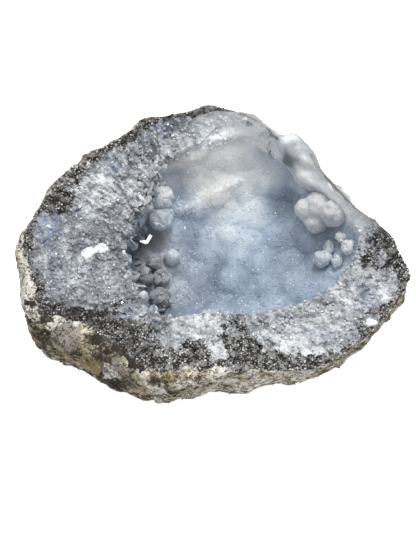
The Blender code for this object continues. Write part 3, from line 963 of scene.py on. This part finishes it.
colours, enter, leave = new_group(
    "geode_colours", [], [("Color", COLOUR), ("Lining", FLOAT), ("Dark", FLOAT), ("Rind", FLOAT)])


def place_in_mm(tree):
    """Where a spot lies on the stone, in millimetres."""
    place = node(tree, "ShaderNodeTexCoord", "object place").outputs["Object"]
    return vector_of(tree, "in millimetres", "SCALE", {0: place, "Scale": 1 / MM})


mm = place_in_mm(colours)


def value_of(name):
    """An attribute of the skin."""
    return node(colours, "ShaderNodeAttribute", name, attribute_name=name).outputs["Fac"]


def times(name, value, factor):
    return sum_of(colours, name, "MULTIPLY", value, factor)


def plus(name, first, second):
    return sum_of(colours, name, "ADD", first, second)


def clouds(name, scale, detail=5.0, roughness=0.6, vector=None):
    """Fractal noise about 0."""
    feeds = {"Vector": vector or mm, "Scale": scale, "Detail": detail, "Roughness": roughness}
    rough = node(colours, "ShaderNodeTexNoise", name, feeds)
    return sum_of(colours, name + " centred", "SUBTRACT", rough.outputs["Fac"], 0.5)


def ramp(name, value, *stops):
    """A colour ramp from (position, colour) stops."""
    made = node(colours, "ShaderNodeValToRGB", name, {"Fac": value})
    elements = made.color_ramp.elements
    for (position, colour), element in zip(stops, (elements[0], elements[1])):
        element.position, element.color = position, colour
    for position, colour in stops[2:]:
        elements.new(position).color = colour
    return made.outputs["Color"]


def ragged(kind, scale=0.8, reach=0.9, start=0.4, end=0.55):
    """The mask of a kind of spot, with an uneven but crisp edge."""
    uneven = times(kind + " reach", clouds(kind + " wobble", scale), reach)
    return eased(colours, kind + " spot", plus(kind + " edge", value_of(kind), uneven), start, end)


def mottled(name, scale, cover, softness=0.06, detail=4.0):
    feeds = {"Vector": mm, "Scale": scale, "Cover": cover, "Softness": softness, "Detail": detail}
    return use_group(colours, mottle, name, feeds)["Mask"]


def speckled(name, scale, share, size=0.45):
    feeds = {"Vector": mm, "Scale": scale, "Share": share, "Size": size}
    return use_group(colours, speckle, name, feeds)["Mask"]


def rest_of(name, value):
    """What is left of 1."""
    return sum_of(colours, name, "SUBTRACT", 1.0, value, True)


def at_most(name, value, most):
    return sum_of(colours, name, "MINIMUM", value, most)


def pushed(tone, *pushes):
    """A tone pushed up or down: each push is a name, a value and its strength."""
    for name, value, strength in pushes:
        tone = plus("tone with " + name, tone, times(name + " push", value, strength))
    return tone


def layered(colour, *layers):
    """A colour with others laid over it: each is a name, a mask, how strongly it covers, and its colour."""
    for name, mask, strength, over in layers:
        colour = blended(colours, name, times(name + " share", mask, strength), colour, over)
    return colour


# %% [markdown]
# ## Rind
#
# Cream and tan rock, with cracks, stains and white crust. The noise is squashed, so that the rock looks
# laid down in flat layers, and slow clouds keep it from being mottled at one scale only. Cracks are the
# thin line where a noise crosses zero.

# %% Rind colours
FLAT_LAYERS = (1.0, 1.0, 1.7)
# Spots that push the tone lighter or darker: partly the stone's own tone, partly painted light and shade.
pale = value_of("pale")
squashed = vector_of(colours, "in flat layers", "MULTIPLY", {0: mm, 1: FLAT_LAYERS})
rind_tone = pushed(
    0.53,
    ("rind contrast", clouds("rind clouds", 0.24, 9.0, 0.72, squashed), 1.45),
    ("slow change", clouds("slow clouds", 0.07, 2.0), 0.45),
    ("paler rind", pale, 0.09),
)
crack = sum_of(colours, "crack distance", "ABSOLUTE", clouds("crack lines", 0.33, 6.0, 0.62, squashed), 0.0)
crack = rest_of("crack", eased(colours, "crack width", crack, 0.008, 0.04))
crust_colour = layered(RIND_WHITE, ("dirty crust", mottled("crust dirt", 0.7, 0.3, 0.1), 1.0, CREAM))
rind_colour = layered(
    ramp("rind ramp", rind_tone, (0.38, SHADE), (0.44, RIND_DARK), (0.49, OLIVE), (0.54, TAN),
         (0.6, CREAM), (0.7, RIND_WHITE)),
    ("stained", ragged("ochre"), 0.7, OCHRE),
    ("bruised", ragged("bruise"), 0.85, BRUISE),
    ("crusted", ragged("plaster", 0.7, 1.4), 0.9, crust_colour),
    ("gritty", mottled("grit patches", 1.1, 0.4, 0.08), 0.45, OLIVE),
    ("pitted", mottled("pit patches", 0.5, 0.22, 0.03, 9.0), 1.0, SHADE),
    ("cracked", times("cracks here", crack, mottled("cracked places", 0.15, 0.65, 0.1)), 0.9, SHADE),
    ("shaded", ragged("shade", 0.7, 1.5), 1.0, SHADE),
    ("peppered", speckled("pepper", 2.4, 0.1, 0.4), 1.0, SHADE),
)

print("with the rind:", len(colours.nodes), "nodes")

# %% [markdown]
# ## Dark skin
#
# A near-black band lies under the rind, with grey smears and grains of quartz that crowd together here and
# there. The grains come from the Speckle group, and a slow noise says where they crowd.

# %% Band colours
smear = sum_of(colours, "smear share", "ADD", times("smear paler", pale, 1.2), 0.6, True)
crowd = plus("crowd with places", clouds("crowd clouds", 0.3), times("crowd paler", pale, 0.1))
crowd = eased(colours, "crowd", crowd, -0.2, 0.06)
band_colour = layered(
    BAND_BLACK,
    ("brown", mottled("brown patches", 0.8, 0.4, 0.08), 1.0, BAND_BROWN),
    ("smeared", mottled("smears", 0.5, 0.42, 0.05, 9.0), smear, BAND_GREY),
    ("grey grains", speckled("grey grain", 2.0, 0.46, 0.5), crowd, BAND_GREY),
    ("white grains", speckled("white grain", 1.5, 0.22, 0.4), crowd, BAND_FLECK),
)

print("with the band:", len(colours.nodes), "nodes")

# %% [markdown]
# ## Quartz wall
#
# Translucent grey, with streaks along the blades, bright and clear grains, and a breath of blue. The
# streaks are noise stretched from the rim to the hollow, read from the angle and the distance to the rim.
# Where the wall is milky, all of this fades to soft white with a little sugar.

# %% Wall colours
milk_share = value_of("milky")
unmilky = rest_of("not milky", milk_share)
crystals = use_group(colours, facet_look, "wall crystals", {"Vector": mm, "Scale": 0.75, "Tilt": 0.0})
crystal_tone = sum_of(colours, "crystal tone", "SUBTRACT", crystals["Tone"], 0.5)
round_mm = times("round", value_of("turn"), ROUND_MM * 0.9)
round_place = node(colours, "ShaderNodeCombineXYZ", "along the blades", {
    "X": plus("round bent", round_mm, times("bend", clouds("streak bend", 0.35, 3.0), 5.0)),
    "Y": times("inward", value_of("rim_mm"), 0.26), "Z": 0.0}).outputs[0]
streaks = times("streaks", clouds("streak clouds", 1.0, 5.0, 0.6, round_place), value_of("blades"))
wall_contrast = plus("wall contrast", times("broken contrast", unmilky, 0.45), 0.85)
wall_tone = pushed(
    0.38,
    ("wall clouds", clouds("wall clouds", 0.28, 8.0, 0.62), wall_contrast),
    ("paler wall", pale, 0.3),
    ("streaks", streaks, 1.25),
    ("crystals", times("crystals off milk", crystal_tone, unmilky), 0.22),
    ("milk", milk_share, 0.36),
)
blue_places = pushed(value_of("blue"), ("blue patches", mottled("blue clouds", 0.12, 0.32, 0.12), 0.22))
blue_grain = eased(colours, "blue grain", clouds("blue breaks", 0.5), -0.2, 0.2)
blue_share = times("blue broken up", blue_places, blue_grain)
some_on_milk = plus("some on milk", times("mostly off milk", unmilky, 0.7), 0.3)
bright_grains = times("bright off milk", speckled("bright grain", 1.5, 0.12, 0.33), unmilky)
clear_grains = times("clear off milk", speckled("clear grain", 1.2, 0.12, 0.4), some_on_milk)
milk_sugar = times("sugar on milk", speckled("milk grain", 1.6, 0.25, 0.26), milk_share)
wall_colour = layered(
    ramp("wall ramp", wall_tone, (0.2, QUARTZ_DARK), (0.4, QUARTZ_GREY), (0.56, QUARTZ_MID),
         (0.76, QUARTZ_PALE), (1.0, FROST)),
    ("blue breath", at_most("blue limit", blue_share, 0.65), 1.0, QUARTZ_BLUE),
    ("bright grains", bright_grains, 0.8, FROST),
    ("clear grains", clear_grains, 0.5, QUARTZ_DARK),
    ("milk sugar", milk_sugar, 0.6, FROST),
)

print("with the wall:", len(colours.nodes), "nodes")

# %% [markdown]
# ## Lining
#
# Chalcedony runs from slate blue in the creases to milk on the domes: the creases are darkened as painted shade,
# and the lit dome in the middle of the hollow is painted paler as light. Its white specks are partly sugar and
# partly painted glints. Here and there it is grey, so its saturation is lowered there.

# %% Lining colours
# The lining is painted paler where its middle dome is lit and darker in the creases between domes: painted light and
# shade.
lining_tone = pushed(
    0.34,
    ("lining clouds", clouds("lining clouds", 0.13, 4.0, 0.55), 0.8),
    ("paler lining", pale, 0.42),
    ("creases", value_of("crease"), -0.22),
)
lining_blue = ramp("lining ramp", lining_tone, (0.0, DEEP_BLUE), (0.3, SLATE_BLUE), (0.6, MILK_BLUE),
                   (0.95, MILK))
blue_left = rest_of("blue left", value_of("grey"))
greyed = node(colours, "ShaderNodeHueSaturation", "greyed", {"Saturation": blue_left, "Color": lining_blue})
# The sugar specks are partly white grains and partly painted glints; the glint specks are painted glints.
lining_colour = layered(
    greyed.outputs["Color"],
    ("sugared ridge", ragged("sugar", 0.9, 0.6, 0.25, 0.7), 0.5, SUGAR),
    ("sugar specks", speckled("sugar grain", 1.3, 0.2, 0.22), 0.8, FROST),
    ("glints", speckled("glint grain", 0.5, 0.16, 0.11), 1.0, FROST),
)

print("with the lining:", len(colours.nodes), "nodes")

# %% [markdown]
# ## Where the zones meet
#
# Each zone ends along a ragged line: its distance attribute, pushed to and fro by noise and by the spots.
# The zones are then laid over each other from the wall outwards.

# %% Zones joined
past_mouth, past_rim = value_of("mouth_mm"), value_of("rim_mm")
mouth_edge = pushed(past_mouth, ("mouth reach", clouds("mouth wobble", 0.35), 5.0),
                    ("milk reaches in", milk_share, -2.5))
lining_share = eased(colours, "lining share", mouth_edge, -0.5, 1.3)
band_edge = pushed(value_of("band"), ("band reach", clouds("band wobble", 0.24, 9.0, 0.72), 3.4),
                   ("ink", value_of("ink"), -1.0))
dark_share = rest_of("dark share", eased(colours, "past band", band_edge, 0.78, 0.95))
off_lining = eased(colours, "off lining", times("away", past_mouth, -1.0), -2.0, 0.0)
dark_share = times("dark on wall", dark_share, off_lining)
milk_clears = rest_of("milk clears", eased(colours, "clearing", milk_share, 0.5, 0.95))
dark_share = times("dark off milk", dark_share, milk_clears)
rind_edge = pushed(past_rim, ("rim reach", clouds("rim wobble", 0.5), 4.0), ("milky drop", milk_share, -1.2),
                   ("crust reach", value_of("plaster"), 3.0))
rind_share = eased(colours, "rind share", rind_edge, 0.2, 1.0)

# Where milky chalcedony runs up to the rim, only a thin brown edge is left of the rind.
edge_wobble = pushed(past_rim, ("thin edge reach", clouds("thin edge clouds", 0.6), 1.6))
thin_edge = times("thin edge on milk", eased(colours, "near the rim", edge_wobble, -1.2, 0.0), milk_share)
not_past = rest_of("not past the rim", eased(colours, "past the rim", past_rim, 1.0, 2.0))

# Smoky quartz and painted shadow: the dark left pocket, the crease under the rim lump and other shaded hollows, with
# a darker step that is mostly painted shadow.
smoke = value_of("smoke")
whole = layered(
    wall_colour,
    ("lining", lining_share, 1.0, lining_colour),
    ("smoky", at_most("smoke limit", smoke, 1.0), 0.85, SMOKE_AND_SHADE),
    ("deep smoke", eased(colours, "deep smoke", smoke, 1.0, 2.0), 0.8, DEEP_SMOKE_AND_SHADE),
    # White patches, and a painted glint in the dark pocket.
    ("frosted", ragged("frost", 0.9, 0.8), 1.0, FROST),
    ("band", dark_share, 1.0, band_colour),
    ("rind", rind_share, 1.0, rind_colour),
    ("thin edge", times("thin edge only", thin_edge, not_past), 0.6, EDGE_BROWN),
)
for name, made in (("Color", whole), ("Lining", lining_share), ("Dark", dark_share), ("Rind", rind_share)):
    colours.links.new(made, leave[name])
print("colours group:", len(colours.nodes), "nodes")

# %% [markdown]
# ## Finishes
#
# The rock is dull and its broken quartz glossy. Chalcedony is a little waxy and lets light in, so it
# scatters some light under its surface. Each finish is a Principled shader fed by the groups.

# %% Finishes


ROCK_ROUGHNESS = 0.9
QUARTZ_IOR = 1.54
# How strongly the splinters glow, though they are no lamp: a painted glint.
SPLINTER_PAINTED_GLINT = 0.55
# How much is left of a facet's tilt, how waxy it gets where it is milky, and how dull the dark band is.
MILKY_TILT, MILKY_WAX, BAND_DULLNESS = 0.15, 0.5, 0.6


def finish(name, roughness, facets, bump, soft=(0.0, 1.3), tint_share=0.0):
    """A material with the colour of its place, facets in its normal and a fine bump.

    roughness is (least, most), facets (cells per mm, tilt), bump (grains per mm, depth in mm) and
    soft (weight, reach in mm).
    """
    made = bpy.data.materials.new(name)
    made.use_nodes = True
    tree = made.node_tree
    shader = tree.nodes["Principled BSDF"]
    in_mm = place_in_mm(tree)
    colour = use_group(tree, colours, "colour of its place")
    milky_here = node(tree, "ShaderNodeAttribute", "milky", attribute_name="milky").outputs["Fac"]
    facet_scale, facet_tilt = facets
    tilt_here = ranged(tree, "tilt here", milky_here, facet_tilt, MILKY_TILT * facet_tilt)
    face = use_group(tree, facet_look, "facets", {"Vector": in_mm, "Scale": facet_scale, "Tilt": tilt_here})
    shine = ranged(tree, "shine", face["Second Tone"], *roughness)
    dull_band = sum_of(tree, "dull band", "MULTIPLY", colour["Dark"], BAND_DULLNESS)
    dull = sum_of(tree, "dull", "MAXIMUM", colour["Rind"], dull_band)
    dull = sum_of(tree, "dull milk", "MAXIMUM", dull, sum_of(tree, "waxy", "MULTIPLY", milky_here, MILKY_WAX))
    bump_scale, bump_depth = bump
    feeds = {"Vector": in_mm, "Scale": bump_scale, "Detail": 4.0}
    fine = node(tree, "ShaderNodeTexNoise", "fine grain", feeds)
    uneven = node(tree, "ShaderNodeBump", "bump", {
        "Height": fine.outputs["Fac"], "Distance": bump_depth * MM, "Normal": face["Normal"]})
    soft_weight, soft_mm = soft
    feed(tree, shader, {
        "Base Color": blended(tree, "tint", tint_share, colour["Color"], FROST),
        "Roughness": ranged(tree, "rough", dull, shine, ROCK_ROUGHNESS),
        "Normal": uneven.outputs["Normal"], "IOR": QUARTZ_IOR, "Subsurface Weight": soft_weight,
        "Subsurface Radius": (1.0, 1.05, 1.1), "Subsurface Scale": soft_mm * MM})
    return made


rock_finish = finish("rind_rock", (0.5, 0.85), (1.1, 0.3), (2.2, 0.3))
wall_finish = finish("broken_quartz", (0.22, 0.6), (1.0, 0.36), (2.0, 0.12), soft=(0.35, 1.3))
lining_finish = finish("blue_chalcedony", (0.3, 0.6), (2.2, 0.13), (3.0, 0.05), soft=(0.6, 1.8))
knob_finish = finish("knob_chalcedony", (0.3, 0.55), (1.6, 0.16), (3.0, 0.06), soft=(0.8, 2.6))
crystal_finish = finish("quartz_points", (0.06, 0.3), (1.0, 0.0), (1.0, 0.0), tint_share=0.18)
blade_finish = finish("clear_blades", (0.04, 0.2), (1.0, 0.0), (1.0, 0.0), tint_share=0.15)
crumb_finish = finish("rock_crumbs", (0.3, 0.9), (1.5, 0.3), (3.0, 0.1))
splinter_finish = finish("lit_splinters", (0.1, 0.3), (1.0, 0.1), (1.0, 0.02))
splinter_shader = splinter_finish.node_tree.nodes["Principled BSDF"]
# The splinters glow a little: a painted glint.
splinter_shader.inputs["Emission Color"].default_value = paint(255, 250, 238)
splinter_shader.inputs["Emission Strength"].default_value = SPLINTER_PAINTED_GLINT


def values_on_faces(mesh, name):
    """A point attribute read at each face, as the mean of its corners."""
    at_points = np.empty(len(mesh.vertices), np.float32)
    mesh.attributes[name].data.foreach_get("value", at_points)
    return np.array([at_points[list(face.vertices)].mean() for face in mesh.polygons])


for material in (rock_finish, wall_finish):
    stone.data.materials.append(material)
PAST_BAND = 1.15
past_band = values_on_faces(stone.data, "band") > PAST_BAND
on_quartz = (values_on_faces(stone.data, "rim_mm") < 0) & past_band
stone.data.polygons.foreach_set("material_index", on_quartz.astype(np.int32))
crust.data.materials.append(lining_finish)
print("faces of rind and band:", int((~on_quartz).sum()), "of quartz:", int(on_quartz.sum()))

# %% [markdown]
# ## Crystals by the thousand
#
# The sugar on a geode is thousands of tiny quartz points that stand on the surface, each leaning its own
# way. A Geometry Nodes tree scatters a small crystal over the skin: it distributes points by a density
# attribute, turns each to the surface with a random lean, gives it a random size, and ends in Realize
# Instances and Set Material, so the result is one plain mesh.

# %% Scatter tree
LEAN_SEED, SIZE_SEED = 5, 9


def small_mesh(name, sides, radius, body, tip, base_share=1.0, flatness=1.0):
    """A tiny crystal, a prism with a point, its base just below the origin. Sizes are for a unit of 1."""
    mesh = bmesh.new()
    bmesh.ops.create_cone(mesh, cap_ends=True, segments=sides, radius1=radius * base_share, radius2=radius,
                          depth=body)
    top = max(mesh.faces, key=lambda face: face.calc_center_median().z)
    bmesh.ops.poke(mesh, faces=[top], offset=tip)
    bmesh.ops.translate(mesh, verts=mesh.verts, vec=(0, 0, body * 0.2))
    bmesh.ops.scale(mesh, verts=mesh.verts, vec=(1, flatness, 1))
    data = bpy.data.meshes.new(name)
    mesh.to_mesh(data)
    mesh.free()
    return bpy.data.objects.new(name, data)


def scatter_tree(name, grain, material):
    tree = bpy.data.node_groups.new(name, "GeometryNodeTree")
    sizes = (("Per Square Metre", FLOAT, 1e6), ("Smallest", FLOAT, 0.3 * MM), ("Largest", FLOAT, 0.6 * MM),
             ("Lean", FLOAT, 0.5), ("Seed", "NodeSocketInt", 1))
    tree.interface.new_socket("Geometry", in_out="INPUT", socket_type="NodeSocketGeometry")
    for socket, kind, default in sizes:
        tree.interface.new_socket(socket, in_out="INPUT", socket_type=kind).default_value = default
    tree.interface.new_socket("Geometry", in_out="OUTPUT", socket_type="NodeSocketGeometry")
    given = node(tree, "NodeGroupInput", "sizes").outputs

    grow = node(tree, "GeometryNodeInputNamedAttribute", "grow", {"Name": "grow"}, data_type="FLOAT")
    density = sum_of(tree, "density", "MULTIPLY", given["Per Square Metre"], grow.outputs["Attribute"])
    points = node(tree, "GeometryNodeDistributePointsOnFaces", "points",
                  {"Mesh": given["Geometry"], "Density": density, "Seed": given["Seed"]}).outputs

    lean, back = given["Lean"], sum_of(tree, "lean back", "MULTIPLY", given["Lean"], -1.0)
    least = node(tree, "ShaderNodeCombineXYZ", "least lean", {"X": back, "Y": back, "Z": 0.0})
    most = node(tree, "ShaderNodeCombineXYZ", "most lean", {"X": lean, "Y": lean, "Z": 2 * math.pi})
    chance = node(tree, "FunctionNodeRandomValue", "random lean",
                  {0: least.outputs[0], 1: most.outputs[0], "Seed": LEAN_SEED}, data_type="FLOAT_VECTOR")
    upright = node(tree, "FunctionNodeAlignRotationToVector", "upright", {"Vector": points["Normal"]},
                   axis="Z")
    turned = node(tree, "FunctionNodeRotateRotation", "leaning",
                  {"Rotation": upright.outputs[0], "Rotate By": chance.outputs[0]}, rotation_space="LOCAL")
    size = node(tree, "FunctionNodeRandomValue", "random size",
                {2: given["Smallest"], 3: given["Largest"], "Seed": SIZE_SEED}, data_type="FLOAT")

    shape = node(tree, "GeometryNodeObjectInfo", "grain", {"Object": grain})
    placed = node(tree, "GeometryNodeInstanceOnPoints", "placed",
                  {"Points": points["Points"], "Instance": shape.outputs["Geometry"],
                   "Rotation": turned.outputs[0], "Scale": size.outputs[1]})
    real = node(tree, "GeometryNodeRealizeInstances", "real", {"Geometry": placed.outputs[0]})
    feeds = {"Geometry": real.outputs[0], "Material": material}
    painted = node(tree, "GeometryNodeSetMaterial", "finish", feeds)
    node(tree, "NodeGroupOutput", "out", {"Geometry": painted.outputs[0]})
    return tree

# %% [markdown]
# ## Five scatters
#
# Sugar in the hollow, coarse crystals on the wall, blades at the left lip, and crumbs on the band and the
# rind. Each is the same tree with its own grain and sizes. The grain has only a few faces, because it is
# repeated thousands of times.

# %% Scatters


def scatter(name, grain, material, share, per_mm2, smallest, largest, lean, seed):
    """A plain mesh of crystals over the skin, where the share array says."""
    host = copy_of(name, skin)
    keep(host.data, "grow", share)
    modifier = host.modifiers.new("scatter", "NODES")
    modifier.node_group = scatter_tree(name + "_tree", grain, material)
    sizes = {"Per Square Metre": per_mm2 / MM**2, "Smallest": smallest * MM, "Largest": largest * MM,
             "Lean": lean, "Seed": seed}
    for item in modifier.node_group.interface.items_tree:
        if item.name in sizes:
            modifier[item.identifier] = sizes[item.name]
    apply_modifiers(host)
    print(name, triangle_count(host), "triangles")
    return host


druse_grain = small_mesh("druse_grain", 6, radius=0.5, body=0.5, tip=0.55)
shard_grain = small_mesh("shard_grain", 5, radius=0.5, body=0.8, tip=0.3, base_share=0.8)
crumb_grain = small_mesh("crumb_grain", 4, radius=0.55, body=0.6, tip=0.2, base_share=0.9)
blade_grain = small_mesh("blade_grain", 4, radius=0.5, body=1.3, tip=0.25, base_share=0.8, flatness=0.35)
grains = (druse_grain, shard_grain, crumb_grain, blade_grain)

in_hollow = np.array([step_between(-0.5, 3.0, value) for value in mouth_mm])
on_wall = ((rim_mm < -1) & (mouth_mm < 1.5) & (band > 1.1)) * (1 - milky) * (1 - 0.5 * blades)
in_band = ((rim_mm < 0.5) & (band < 1.1) & (mouth_mm < 0)) * (1 - milky)
on_rind = 1.0 * ((rim_mm > 2) & (skin_points[:, 2] > 6 * MM))
left_half = np.array([step_between(-10, -18, value) for value in skin_points[:, 0] / MM])
# Smoky quartz and painted shadow from the spots: fewer sugar points grow there, and more blades at the left lip.
smoky = np.clip(spots["smoke"], 0, 1)
at_lip = (np.exp(-((mouth_mm / 3.0) ** 2)) + 0.25 * smoky) * left_half
druse_share = in_hollow * (1 - 0.6 * smoky)
# Each row: the grain and its finish, where it grows, how many per square millimetre, the smallest and largest
# in millimetres, how far it leans in radians, and the seed.
SCATTERS = {
    "druse": (druse_grain, crystal_finish, druse_share, 1.1, 0.2, 0.5, 0.5, 3),
    "wall_crystals": (shard_grain, crystal_finish, on_wall, 0.35, 0.35, 1.2, 0.9, 4),
    "lip_blades": (blade_grain, blade_finish, np.clip(at_lip, 0, 1), 0.26, 0.8, 2.8, 0.9, 7),
    "band_crumbs": (crumb_grain, crumb_finish, in_band, 0.6, 0.3, 0.9, 0.9, 5),
    "rind_crumbs": (crumb_grain, crumb_finish, on_rind, 0.06, 0.3, 0.7, 0.5, 6),
}
growths = [scatter(name, *row) for name, row in SCATTERS.items()]

# %% [markdown]
# ## Knobs and single crystals
#
# A few growths stand out on their own: round knobs of chalcedony, and quartz crystals. Each takes the
# place of its own solid. A knob is merged, smoothed, swollen by up to 1.3 mm so that it sits in the crust
# with no gap, wrapped in an even net, melted until its lobes run together, and then pressed into lumps,
# planes and sugar. A cluster of crystals keeps its flat faces and only gets worn edges.

# %% Knobs
KNOB_PITCH = 0.16 * MM
KNOB_GROWTH = 0.45
LUMP_DEPTH, SUGAR_DEPTH = 0.35, 0.12
LUMP_MM, PLANE_MM, SUGAR_MM = 1.9, 1.8, 0.7
SAME_FACE, EDGE_WEAR = math.radians(8), 0.12
knob_names = [row["node"] for row in frame["record"]["subparts"] if row["material_slot"] == "chalcedony"]
crystal_names = [row["node"] for row in frame["record"]["subparts"] if row["material_slot"] == "quartz"]

# What a growth looks like where it isn't plain grey-blue chalcedony: its own attributes, how far it is grown,
# how long it is smoothed, and how deep its flat planes are.
PLAIN_LOOK = {"rim_mm": -15.0, "mouth_mm": 8.0, "band": 9.0, "turn": 0.0, "blades": 0.0, "crease": 0.3,
              "grey": 0.5, "pale": 0.15}
# The glassy knobs and the slab in the left pocket take the smoky look, which is partly painted shadow.
LOOKS = {
    "glassy_knob_left": {"smoke": 0.6, "grey": 0.9, "pale": -0.2},
    "glassy_knob_middle": {"smoke": 0.5, "grey": 0.9, "pale": 0.0},
    "glassy_knob_low": {"smoke": 0.6, "grey": 0.9, "pale": -0.2},
    "knob_upper_left": {"grey": 0.35, "pale": 0.6},
    "knob_top_left": {"grey": 0.6, "pale": 0.6},
    "lobed_knobs_right": {"grey": 0.85, "pale": 0.35},
    "knob_right_edge": {"grey": 0.9, "pale": 0.6},
    "quartz_crystal_left": {"grey": 0.6, "pale": 0.35},
    "quartz_slab_left": {"grey": 1.0, "smoke": 0.8},
    "quartz_cluster_right": {"grey": 0.9, "pale": 0.9},
}
GROWTH_MM = {"lobed_knobs_right": 1.2, "knob_top_left": 1.3, "knob_upper_left": 0.7,
             "quartz_crystal_left": 0.2}
MELT_MM2 = {"lobed_knobs_right": 3.5, "quartz_crystal_left": 0.6, "quartz_slab_left": 0.5}
PLAIN_MELT = 0.9
PLANES_MM = {"glassy_knob_left": 1.3, "glassy_knob_middle": 1.0, "glassy_knob_low": 1.3,
             "quartz_slab_left": 0.9, "quartz_crystal_left": 0.1, "lobed_knobs_right": 0.12}
PLAIN_PLANES = 0.55
GROWN_ROUND = ("quartz_crystal_left", "quartz_slab_left")


def give_look(obj, name):
    """A growth's own attributes, the same all over it."""
    for key, value in {**PLAIN_LOOK, **LOOKS.get(name, {})}.items():
        keep(obj.data, key, np.full(len(obj.data.vertices), value))


def knob(name):
    """A round growth, from its solid."""
    made = merged_copy(name + "_grown", frame["nodes"][name])
    smooth = made.modifiers.new("smooth", "SUBSURF")
    smooth.levels = smooth.render_levels = 2
    swell = made.modifiers.new("swell", "DISPLACE")
    swell.strength = GROWTH_MM.get(name, KNOB_GROWTH) * MM
    swell.mid_level = 0.0
    net = made.modifiers.new("net", "REMESH")
    net.mode = "VOXEL"
    net.voxel_size = KNOB_PITCH
    melt = made.modifiers.new("melt", "SMOOTH")
    melt.factor = 0.5
    melt.iterations = round(MELT_MM2.get(name, PLAIN_MELT) / (KNOB_PITCH / MM) ** 2)
    apply_modifiers(made)
    points, facing = coordinates(made.data) / MM, normals(made.data)
    lumps = np.array([noise.noise(Vector(p) / LUMP_MM + SEED_DOMES) for p in points]) * LUMP_DEPTH
    planes = np.array([facets(Vector(p) / PLANE_MM, 1.4, 0.7) for p in points])
    planes *= PLANES_MM.get(name, PLAIN_PLANES)
    sugar = np.array([facets(Vector(p) / SUGAR_MM, 1.2, 0.8) for p in points]) * SUGAR_DEPTH
    grown = points + facing * (lumps + planes + sugar)[:, None]
    move_points(made.data, grown * MM)
    give_look(made, name)
    made.data.materials.append(knob_finish)
    return made


def single_crystal(name):
    """A growth with flat faces, from its solid."""
    made = merged_copy(name + "_grown", frame["nodes"][name])
    mesh = bmesh.new()
    mesh.from_mesh(made.data)
    bmesh.ops.dissolve_limit(mesh, angle_limit=SAME_FACE, verts=mesh.verts, edges=mesh.edges)
    mesh.normal_update()
    for vertex in mesh.verts:
        vertex.co += vertex.normal * KNOB_GROWTH * MM
    mesh.to_mesh(made.data)
    mesh.free()
    edge = made.modifiers.new("worn edge", "BEVEL")
    edge.width = EDGE_WEAR * MM
    edge.segments = 2
    apply_modifiers(made)
    give_look(made, name)
    made.data.materials.append(crystal_finish)
    return made


knobs = {name: knob(name) for name in knob_names}
crystals_alone = {
    name: knob(name) if name in GROWN_ROUND else single_crystal(name) for name in crystal_names}
print("knobs:", {name: triangle_count(obj) for name, obj in knobs.items()})

# %% [markdown]
# ## Two splinters with a painted glint
#
# In the darkest pocket two splinters of quartz stand for a glint, end to end in a V: they are white and glow
# a little, which is a painted glint. Each is a thin closed bar with its ends cut square.

# %% Splinters with a painted glint
SPLINTERS_MM = [((-20.8, 11.0, 18.4), (-19.0, 10.4, 18.0)), ((-19.1, 10.3, 18.0), (-17.7, 12.2, 19.3))]
SPLINTER_WIDTH, SPLINTER_DEPTH = 0.85, 0.5


def bar(mesh, start, end):
    """A closed bar between two points, in millimetres."""
    start, end = Vector(start), Vector(end)
    length = (end - start).length
    turn_to = (end - start).to_track_quat("X", "Z").to_matrix().to_4x4()
    sized = Matrix.Diagonal((length, SPLINTER_WIDTH, SPLINTER_DEPTH, 1.0))
    moved = Matrix.Translation((start + end) / 2 * MM)
    bmesh.ops.create_cube(mesh, size=MM, matrix=moved @ turn_to @ sized)


splinter_mesh = bmesh.new()
for start, end in SPLINTERS_MM:
    bar(splinter_mesh, start, end)
splinters = bpy.data.objects.new("white_splinters", bpy.data.meshes.new("white_splinters"))
splinter_mesh.to_mesh(splinters.data)
splinter_mesh.free()
bpy.context.scene.collection.objects.link(splinters)
# The splinters are painted white as a glint.
LOOKS["white_splinters"] = {"frost": 2.0}
give_look(splinters, "white_splinters")
splinters.data.materials.append(splinter_finish)
growths.append(splinters)
print("splinters:", triangle_count(splinters), "triangles")

# %% [markdown]
# ## Joining the solid model
#
# Every piece rides on the one body. The fine pieces stand for the plain solids, and the helper skin goes.

# %% Ride and finish
for obj in [stone, crust, *growths]:
    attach(obj, "root")
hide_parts("geode_half")
for slot_name, group in (("chalcedony", knobs), ("quartz", crystals_alone)):
    for name, obj in group.items():
        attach(obj, "root")
        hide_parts(name)
bpy.data.objects.remove(skin, do_unlink=True)
for grain in grains:
    bpy.data.objects.remove(grain, do_unlink=True)
